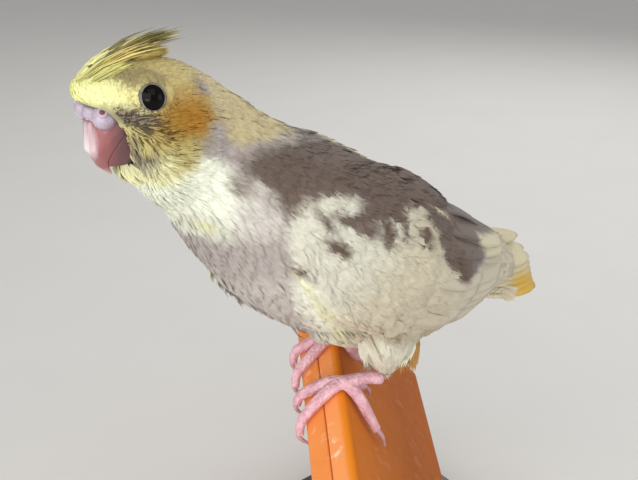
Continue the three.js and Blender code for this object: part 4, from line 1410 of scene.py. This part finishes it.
def bare_finish(name, light, dark, grain, depth):
    finish = Finish(name, 0.5, {"Subsurface Weight": 0.1})
    finish.cover(finish.between(finish.noise(2.2, 4), 0.3, 0.7), light, dark)
    finish.bump(finish.cells(grain) + finish.noise(0.3, 3) * 0.4, depth)
    return finish.material


# %% [markdown]
# A parrot's bill closes with its lower half flush inside the upper one, and all that shows
# is a thin slanting line. Both solids are wrapped in one hull, and the hull is parted along
# that line, which makes two pieces that meet.

# %% Part the bill along the mouth line
MOUTH = [
    (-55.5, 89.2), (-57.5, 86.0), (-60.2, 81.6), (-61.1, 79.3), (-60.5, 77.6), (-59.7, 76.2), (-59.2, 74.0),
]
CHIN_LINE = 77.9
MOUTH_GAP = 0.14
CUTTER_HALF = 12
BILL_GRAIN = 0.22
FINE_GRAIN = 0.12


def prism(outline):
    """A solid with a side view given as a ring of (x, z), wider than the bill."""
    solid = add(bpy.ops.mesh.primitive_circle_add, "cutter", vertices=len(outline), fill_type="NGON")
    set_corners(solid.data, [at(x, -CUTTER_HALF, z) for x, z in outline])
    edit(solid, extrude(0, 2 * CUTTER_HALF * MM, 0), ALL, OUTWARD)
    return solid


def bill_hull(name):
    """Both halves of the bill in one smooth hull."""
    whole = join([copy_of("bill_upper", name), copy_of("bill_lower", name)], name)
    edit(whole, (bpy.ops.mesh.convex_hull, {}))
    remesh(whole, BILL_GRAIN, 12)
    return whole


def part_bill(name, outline, operation):
    """The part of the bill inside or outside an outline."""
    piece = bill_hull(name)
    cutter = prism(outline)
    modify(piece, "BOOLEAN", object=cutter, operation=operation, solver="EXACT")
    bpy.data.objects.remove(cutter)
    remesh(piece, FINE_GRAIN, 3)
    return smooth(piece)


bill_look = horn_finish("pink horn", (242, 226, 232), (152, 92, 93), (112, 78, 82), (226, 190, 170))
upper_bill = part_bill("upper_bill", [*MOUTH, (-46, 74), (-46, 89.2)], "DIFFERENCE")
settle(upper_bill, bill_look, "bill_horn", "bill_upper")
inner = [(x + MOUTH_GAP, z) for x, z in MOUTH if z > CHIN_LINE]
lower_bill = part_bill("lower_bill", [*inner, (-60.6, CHIN_LINE), (-48, 77.2), (-48, 89.2)], "INTERSECT")
settle(lower_bill, bill_look, "bill_horn", "bill_lower")

# %% [markdown]
# The cere is a swelling of bare skin over each nostril. The nostril is a hole with a raised
# rim: a ring is sunk into the swelling before both are remeshed as one, and a dark bead
# closes the hole from inside.

# %% Make the cere with its nostrils
CERE_GRAIN = 0.14
NOSTRIL_LIP = 0.34


def both_sides(place):
    """A place beside the bill and its mirror, in the scene."""
    return [at(*(place * (1, mirror, 1))) for mirror in (1, -1)]


swellings = [ball("swelling", place, BULGE_RADIUS) for place in both_sides(BULGE)]
rims = []
for place, mirror in zip(both_sides(NOSTRIL + NOSTRIL_OUT * 0.3), (1, -1)):
    turn = Vector(NOSTRIL_OUT * (1, mirror, 1)).to_track_quat("Z", "Y").to_euler()
    rims.append(ring("rim", NOSTRIL_RADIUS, NOSTRIL_LIP, 32, 12, location=place, rotation=turn))
cere = join([copy_of("cere", "cere_skin"), *swellings, *rims], "cere_skin")
remesh(cere, CERE_GRAIN, 3)
cere_look = bare_finish("lilac skin of the cere", (196, 183, 196), (172, 146, 166), 0.6, 0.12)
settle(smooth(cere), cere_look, "cere_skin", "cere")

nostril_look = Finish("inside of the nostril", 0.6)
nostril_look.cover(nostril_look.noise(0.4, 2), (96, 44, 48), (132, 70, 74))
inside = both_sides(NOSTRIL + NOSTRIL_OUT * 0.06)
beads = [ball("nostrils", place, NOSTRIL_RADIUS * 0.78, 24, 16) for place in inside]
settle(join(beads, "nostrils"), nostril_look.material, "cere_skin")

# %% [markdown]
# The feet are covered with small scales, given as a pattern of cells.

# %% Smooth the feet and the claws
foot_look = bare_finish("pink scaled skin", (236, 190, 198), (208, 148, 162), 1.0, 0.35)
claw_look = bare_finish("claw horn", (208, 164, 168), (176, 130, 138), 1.2, 0.03)
for side in ("left", "right"):
    foot = smoothed(f"foot_{side}", f"scaled_foot_{side}", grain=0.3)
    settle(foot, foot_look, "foot_skin", f"foot_{side}")
    for toe in ("outer", "inner", "thumb", "rear"):
        claw = smoothed(f"claw_{side}_{toe}", f"horn_{side}_{toe}")
        settle(claw, claw_look, "claw_horn", f"claw_{side}_{toe}")
print("horn and bare skin smoothed")

# %% [markdown]
# ## Firm feathers
#
# The flight and tail feathers have a shaft and a closed vane. One vane is modelled flat: a
# strip, widened in the middle, drawn to a point, given a thickness and a ridge for the
# shaft. It is then laid along a path for each feather of the wing and the tail.

# %% Model one vane
VANE_RIDGE = 0.06
VANE_THICK = 0.04


def model_vane():
    """A flat vane one unit long and one wide, as corners (across, height, along) and triangles."""
    grid = dict(x_subdivisions=6, y_subdivisions=10, size=1, location=(0, 0.5, 0))
    blade = add(bpy.ops.mesh.primitive_grid_add, "vane", **grid)
    corners = corners_of(blade.data)
    along = corners[:, 1]
    half = 0.62 * np.sqrt(np.clip(1 - ((along - 0.45) / 0.56) ** 2, 0, 1)) + 0.1 * (1 - along)
    corners[:, 0] *= half / 0.5 * 0.8
    corners[:, 2] = VANE_RIDGE * (1 - np.abs(corners[:, 0]) * 2)
    set_corners(blade.data, corners)
    modify(blade, "SOLIDIFY", thickness=VANE_THICK, offset=0)
    modify(blade, "TRIANGULATE")
    corners, faces = take_form(blade)
    return corners[:, [0, 2, 1]], faces[:, ::-1]


VANE, VANE_FACES = model_vane()
print("one vane:", len(VANE), "corners,", len(VANE_FACES), "triangles")

# %% [markdown]
# A vane is laid on a path of places. Each corner goes to its place along the path, out to
# its side and up by its height. On the wing the path is drawn in the side view and dropped
# onto the skin, so that the feathers wrap the body.

# %% Lay vanes along paths


def curve_through(root, bend, tip, t):
    """Points of a bent line."""
    t = np.asarray(t)[:, None]
    return (1 - t) ** 2 * np.array(root) + 2 * t * (1 - t) * np.array(bend) + t**2 * np.array(tip)


def drop_on_skin(x, z, side, lift):
    """The place over the skin at a place of the side view, and the way out from the skin there."""
    start = at(x, side * 60, z)
    place, normal = SKIN_TREE.ray_cast(start, Vector((0, -side, 0)))[:2]
    if place is None:
        place = at(x, side * 2, z)
        normal = Vector((0, side * 0.5, 1)).normalized()
    return np.array(place + normal * lift * MM), np.array(normal)


def wing_path(root, bend, tip, side, lifts):
    """Places and outward ways along a feather of the wing, from places (x, z) in the side view."""
    shares = np.linspace(0, 1, 12)
    flat = curve_through(root, bend, tip, shares)
    heights = np.interp(shares, (0, 0.5, 1), lifts)
    found = [drop_on_skin(x, z, side, lift) for (x, z), lift in zip(flat, heights)]
    places = np.array([place for place, _ in found])
    normals = np.array([normal for _, normal in found])
    for _ in range(3):
        places[1:-1] = (places[:-2] + 2 * places[1:-1] + places[2:]) / 4
        normals[1:-1] = (normals[:-2] + 2 * normals[1:-1] + normals[2:]) / 4
    return places, unit(normals)


def lay_vane(places, normals, width, tilt=0.0):
    """The corners of one vane along a path."""
    across, height, along = VANE.T
    shares = np.linspace(0, 1, len(places))

    def there(values):
        return np.stack([np.interp(along, shares, axis) for axis in values.T], 1)

    way = unit(there(unit(np.gradient(places, axis=0))))
    aside = unit(np.cross(unit(there(normals)), way))
    out = np.cross(way, aside)
    lean = math.radians(tilt)
    turned = aside * math.cos(lean) + out * math.sin(lean)
    risen = out * math.cos(lean) - aside * math.sin(lean)
    return there(places) + (turned * across[:, None] + risen * height[:, None]) * width * MM


def vane_piece(name, laid, colours):
    """Join laid vanes into one piece, with a colour at each corner."""
    count = len(laid)
    corners = np.concatenate(laid)
    triangles = np.concatenate([VANE_FACES + k * len(VANE) for k in range(count)])
    strips = [VANE[:, [0, 2]] * (0.05, 0.9) + (0.05 + 0.9 * k / count, 0.05) for k in range(count)]
    reach = np.tile(VANE[:, 2], count)
    chance = np.tile(VANE[:, 0], count)
    painted = colours(from_ridge(corners))
    piece = build(name, corners, triangles, np.concatenate(strips), painted, reach, chance)
    merge_corners(piece, 0.001)
    print(name + ":", count, "vanes,", len(triangles), "triangles")
    return piece


# The fine barbs of a vane are waves along it, this many radians from its root to its tip
BARB_WAVES = 260


def vane_finish():
    """Firm vanes: fine slanting barbs each side of the shaft."""
    finish = Finish("firm vanes", 0.6, {"Sheen Weight": 0.15, "Specular IOR Level": 0.3})
    from_shaft = finish.node("ShaderNodeMath", {0: finish.attribute("chance")}, operation="ABSOLUTE")
    slant = (finish.attribute("reach") + from_shaft * 0.5) * BARB_WAVES
    barb = finish.node("ShaderNodeMath", {0: slant}, operation="SINE")
    finish.shade_marking(barb * 0.06 + finish.noise(0.8, 4) * 0.2 + 0.84)
    finish.bump(barb * 0.5 + finish.noise(0.4, 2) * 0.5, 0.06)
    return finish.material


vane_look = vane_finish()

# How far each vane of the wing leans over the next, in degrees
VANE_LEAN = 6

# Each tier: how many, then root, bend and tip (x, z) of the first and of the last, their heights
# over the skin, and the width of the first and of the last
TIERS = [
    (9, ((11, 25), (35, 16), (51, 14.5)), ((36, 42), (57, 31), (65, 28.5)), (-0.2, 0.6, 1.2), 9.0, 8.0),
    (4, ((26, 45), (46, 35), (58, 29)), ((29, 52), (50, 38), (62, 31)), (0.2, 1.6, 2.1), 9.0, 8.5),
    (9, ((-4, 33), (14, 22), (34, 16.5)), ((14, 61), (31, 50), (47, 40)), (-1.0, 1.0, 1.8), 9.5, 9.0),
]


def tier_vanes(side):
    laid = []
    for count, first, last, lifts, first_width, last_width in TIERS:
        for k in range(count):
            share = k / (count - 1)
            path = [np.array(a) * (1 - share) + np.array(b) * share for a, b in zip(first, last)]
            places, normals = wing_path(*path, side, lifts)
            width = first_width * (1 - share) + last_width * share
            laid.append(lay_vane(places, normals, width, VANE_LEAN * side))
    return laid


for name, side in (("left", -1), ("right", 1)):
    vanes = vane_piece(f"wing_vanes_{name}", tier_vanes(side), markings)
    settle(vanes, vane_look, "wing_feathers", f"wing_{name}")

# %% [markdown]
# ## The tail
#
# A tail is a fan of twelve feathers, the middle pair on top. This young bird's is short and
# held with its left edge low.

# %% Lay the tail
TAIL_FEATHERS = 12
TAIL_LENGTH = 32.6
TAIL_OUTER_SHARE = {-1: 1.1, 1: 0.94}
TAIL_WIDTH = 9.4
TAIL_SPREAD = 4.5
TAIL_ROOF = 22.0
TAIL_ROLL = 34.0
TAIL_DROOP = 1.2

# The middle pair spreads and slopes less. The outermost roots lie so far out and so low, and the
# middle ones so much closer in and higher
MIDDLE_SPREAD = 0.4
MIDDLE_ROOF = 4
ROOTS_OUT = 7.6
ROOTS_CLOSER = 6.0
ROOTS_LOW = -3.6
ROOTS_HIGHER = 6.2

RAISED_FEATHER = ((62.0, 3.5, 25.8), (88.5, 2.5, 20.2))
RAISED_WIDTH = 7.2
SHARES = np.linspace(0, 1, 10)[:, None]


def tail_axes():
    """The tail's ways up and across, rolled so that its left edge hangs."""
    roll = math.radians(TAIL_ROLL)
    up = np.array([math.sin(TAIL_PITCH), 0, math.cos(TAIL_PITCH)])
    left = np.array([0.0, 1.0, 0.0])
    return up * math.cos(roll) - left * math.sin(roll), left * math.cos(roll) + up * math.sin(roll)


def tail_vane(pair, side):
    """One feather of a pair, from the outermost to the middle."""
    inward = pair / (TAIL_FEATHERS / 2 - 1)
    up, across = tail_axes()
    outer_share = TAIL_OUTER_SHARE[side]
    length = TAIL_LENGTH * (outer_share + (1 - outer_share) * inward**0.5)
    fan = side * math.radians(TAIL_SPREAD * (1 - inward) + MIDDLE_SPREAD * inward)
    roof = side * math.radians(TAIL_ROOF * (1 - inward) + MIDDLE_ROOF * inward)
    way = TAIL_BACK * math.cos(fan) + across * math.sin(fan)
    out = up * math.cos(roof) + across * math.sin(roof)
    start = np.array(TAIL_ROOT) + across * side * (ROOTS_OUT - ROOTS_CLOSER * inward)
    rise = (ROOTS_LOW + ROOTS_HIGHER * inward) - TAIL_DROOP * SHARES**2
    places = ZERO + MM * (start + way * length * SHARES + up * rise)
    return lay_vane(places, np.repeat(out[None], len(SHARES), 0), TAIL_WIDTH)


def raised_vane():
    """A feather of the right side that stands off the others."""
    root, tip = np.array(RAISED_FEATHER)
    places = ZERO + MM * (root + (tip - root) * SHARES)
    return lay_vane(places, np.repeat(tail_axes()[0][None], len(SHARES), 0), RAISED_WIDTH)


def tail_colours(points):
    low = ramp(points[:, 2] + 0.23 * (points[:, 0] - 84), 13, 7)
    yellow = low * ramp(points[:, 0], 70, 82) * 0.95 + 0.05
    return blend(plain(CREAM, points), GOLD, yellow)


laid = [tail_vane(pair, side) for pair in range(TAIL_FEATHERS // 2) for side in (-1, 1)]
tail = vane_piece("tail_vanes", [*laid, raised_vane()], tail_colours)
settle(tail, vane_look, "tail_feathers", "tail")

# %% [markdown]
# ## The crest
#
# The crest feathers are narrow and loose, laid back over the crown. Each is a long spray of
# fine barbs, olive above and yellow below.

# %% Grow the crest
CREST_DARK = (104, 98, 46)
CREST_YELLOW = (228, 212, 136)
CREST_PALE = (236, 234, 162)
CREST_FRONT = -62.1
CREST_ARCH = 1.0
CREST_BARBS = 55
CREST_ROOTED = 0.62
CREST = [
    # root (x, y, z), tip (x, y, z), share of dark barbs
    ((-62.0, 0.0, 99.2), (-40.5, 0.3, 103.9), 0.85),
    ((-61.6, 1.3, 99.2), (-44.0, 1.9, 103.5), 0.85),
    ((-61.6, -1.3, 99.2), (-43.0, -1.5, 103.5), 0.8),
    ((-60.8, 2.5, 99.0), (-47.5, 3.2, 102.6), 0.2),
    ((-60.8, -2.5, 99.0), (-47.0, -3.0, 102.6), 0.1),
    ((-59.0, 0.6, 100.0), (-46.5, 0.6, 102.9), 0.2),
    ((-59.0, -0.8, 100.0), (-46.5, -0.8, 102.8), 0.1),
    ((-57.0, 1.8, 100.0), (-48.0, 2.0, 102.0), 0.05),
    ((-57.0, -1.8, 100.0), (-48.0, -2.0, 102.0), 0.05),
    ((-55.5, 0.0, 100.2), (-46.5, 0.0, 101.7), 0.0),
    ((-54.5, 3.0, 99.6), (-47.0, 3.4, 101.0), 0.0),
    ((-54.5, -3.0, 99.6), (-47.0, -3.4, 101.0), 0.0),
    ((-53.0, 1.2, 99.8), (-44.0, 1.4, 100.3), 0.0),
    ((-53.0, -1.2, 99.8), (-44.0, -1.4, 100.3), 0.0),
    # The pale feathers of the brow that lead into the crest
    ((-64.2, 0.0, 97.2), (-55.0, 0.2, 101.4), 0.0),
    ((-63.8, 1.6, 97.2), (-55.5, 1.8, 101.0), 0.0),
    ((-63.8, -1.6, 97.2), (-55.5, -2.0, 100.9), 0.0),
    ((-63.2, 3.2, 96.8), (-55.5, 3.8, 100.0), 0.0),
    ((-63.2, -3.2, 96.8), (-55.0, -4.0, 99.8), 0.0),
    ((-62.2, -4.6, 96.8), (-54.5, -5.4, 98.9), 0.0),
]


def crest_roots(rng, each):
    """Roots of the barbs of every crest feather, spread along the first part of its arched shaft."""
    parts = {"place": [], "way": [], "colour": [], "length": [], "bend": []}
    for root, tip, dark_share in CREST:
        root = np.array(root)
        shaft = np.array(tip) - root
        length = np.linalg.norm(shaft)
        rise = CREST_ARCH * min(length / 20, 1)
        share = rng.random((each, 1)) ** 1.2 * CREST_ROOTED
        arch = np.array([0.0, 0.0, 4 * rise]) * share * (1 - share)
        slope = np.array([0.0, 0.0, 4 * rise]) * (1 - 2 * share)
        barb = length * (1 - share[:, 0]) * rng.uniform(0.8, 1.05, each)
        dark = (rng.random((each, 1)) < dark_share) * 0.85
        parts["place"].append(root + shaft * share + arch + rng.normal(0, 0.3, (each, 3)))
        parts["way"].append((shaft + slope) / length + rng.normal(0, 0.025, (each, 3)))
        parts["length"].append(barb)
        parts["bend"].append(-4 * rise * (barb / length) ** 2)
        base = CREST_YELLOW if root[0] > CREST_FRONT else CREST_PALE
        parts["colour"].append(linear(base) * (1 - dark) + linear(CREST_DARK) * dark)
    parts = {key: np.concatenate(value) for key, value in parts.items()}
    way = unit(parts["way"])
    up = np.tile([0.0, 0.0, 1.0], (len(way), 1))
    parts["place"] = ZERO + MM * parts["place"]
    parts["normal"] = unit(up - way * (way * up).sum(1, keepdims=True))
    parts["way"] = way
    parts["layout"] = 0.5 + rng.normal(0, 0.01, (len(way), 2))
    return parts


roots = crest_roots(np.random.default_rng(7), CREST_BARBS)
crest_piece = grow("crest_plumes", roots, 8, roots["length"], 0.8, barbs=3, loft=0.1, tint=0.1)
settle(crest_piece, feathers, "crest_feathers", "crest")

# %% [markdown]
# ## The board and the stand
#
# The board is painted in bright orange and scuffed where claws have scraped it, and its broad
# face is painted darker as painted shade. The stand is plain dark wood and brushed rods.

# %% Paint the board and finish the stand
# The board's ridge between the feet, the way through its thickness and the way down its broad face, which
# place the painted shade on the broad face
BOARD_RIDGE = (0.0, -9.0, 0.0)
BOARD_THROUGH = (-0.617, 0.535, -0.577)
BOARD_DOWN = (0.577, -0.191, -0.794)


def scuffed(finish, colour, share):
    """Paint with pale scrapes over a share of it."""
    scratch = finish.between(finish.noise(3.0, 6, stretch=(1, 1, 0.3)), 0.56, 0.64)
    worn = finish.between(finish.noise(10, 3), 0.48, 0.6)
    finish.cover(scratch * worn * share, colour, (252, 226, 200))
    finish.feed("Roughness", finish.noise(4, 3) * 0.25 + 0.45)
    finish.bump(finish.noise(3, 5), 0.06)
    return finish.material


def front_finish():
    finish = Finish("orange paint", 0.6, {"Specular IOR Level": 0.2})
    cloud = finish.between(finish.noise(14, 4), 0.3, 0.7)
    return scuffed(finish, finish.mix(cloud, (246, 154, 84), (240, 142, 70)), 0.35)


def back_finish():
    """Pale and scuffed on the narrow face, bright on the rounded edge, and darker down the broad face as
    painted shade, darker still lower down.
    """
    finish = Finish("bright orange paint", 0.6, {"Specular IOR Level": 0.2})
    through = finish.reach(at(*BOARD_RIDGE), BOARD_THROUGH) * 0.1
    down = finish.reach(at(*BOARD_RIDGE), BOARD_DOWN) * 0.01
    narrow = finish.between(through, 0.16, 0.3)
    broad = 1 - finish.between(through, 0.02, 0.1)
    # Painted shade: the broad face is painted darker, more so lower down
    lower = finish.between(down + finish.noise(14, 4) * 0.1, 0.12, 0.42)
    edge = finish.mix(narrow, (238, 138, 34), (248, 158, 92))
    shaded_broad_face = finish.mix(lower, (206, 114, 24), (168, 86, 10))
    return scuffed(finish, finish.mix(broad, edge, shaded_broad_face), narrow * 0.8 + 0.06)


def grained_finish(name, first, second, grain, detail, stretch, depth, roughness, constants=None):
    """Two colours in a stretched grain: lacquered wood or brushed metal."""
    finish = Finish(name, roughness, constants)
    pattern = finish.noise(grain, detail, stretch)
    finish.cover(pattern, first, second)
    finish.bump(pattern, depth)
    return finish.material


wood = grained_finish("dark lacquered wood", (22, 18, 16), (52, 40, 32), 5, 6, (0.15, 1, 1), 0.05, 0.35)
rods = grained_finish(
    "brushed rods", (150, 152, 156), (186, 188, 192), 1.0, 4, (1, 1, 0.05), 0.02, 0.3, {"Metallic": 1.0}
)
looks = {
    "perch_front_layer": front_finish(),
    "perch_back_layer": back_finish(),
    "stand_base": wood,
    "stand_rod_far": rods,
    "stand_rod_near": rods,
}
for node, material in looks.items():
    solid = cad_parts[node]
    solid.data.materials.clear()
    solid.data.materials.append(material)
print("board and stand finished")

# %% [markdown]
# ## Floor and light
#
# The room is a pale floor under soft light from above and from the camera's left.

# %% Set the floor and the lights


def lamp(name, place, target, size, power, colour):
    """An area lamp that is aimed at a place."""
    light = bpy.data.lights.new(name, "AREA")
    light.size = size
    light.energy = power
    light.color = colour
    lamp_object = bpy.data.objects.new(name, light)
    lamp_object.location = place
    lamp_object.rotation_euler = (Vector(target) - Vector(place)).to_track_quat("-Z", "Y").to_euler()
    bpy.context.scene.collection.objects.link(lamp_object)


floor = add(bpy.ops.mesh.primitive_plane_add, "floor", size=6, location=(0, 0, -0.0005))
floor_finish = Finish("pale floor", 0.7)
floor_finish.cover(floor_finish.noise(60, 3), (214, 212, 208), (220, 218, 214))
floor.data.materials.append(floor_finish.material)

# Each lamp: place, size, power and colour
LAMPS = {
    "key": ((-0.9, -0.4, 0.3), 1.3, 11.0, (1.0, 0.99, 0.97)),
    "low": ((-0.75, -0.5, 0.02), 0.4, 2.4, (1, 1, 1)),
    "fill": ((-0.2, -0.5, 0.9), 0.8, 2.2, (1.0, 0.98, 0.95)),
    "back": ((0.7, 0.4, 0.7), 0.5, 3.0, (1, 1, 1)),
    "right": ((0.6, -0.7, 0.25), 0.6, 1.7, (1, 1, 1)),
}
for name, (place, size, power, colour) in LAMPS.items():
    lamp(name, place, at(0, 0, 50), size, power, colour)
world = bpy.data.worlds.new("room")
world.use_nodes = True
background = world.node_tree.nodes["Background"].inputs
background["Color"].default_value = (0.94, 0.95, 0.96, 1)
background["Strength"].default_value = 0.46
bpy.context.scene.world = world
bpy.context.scene.view_settings.view_transform = "Standard"
print("lit")
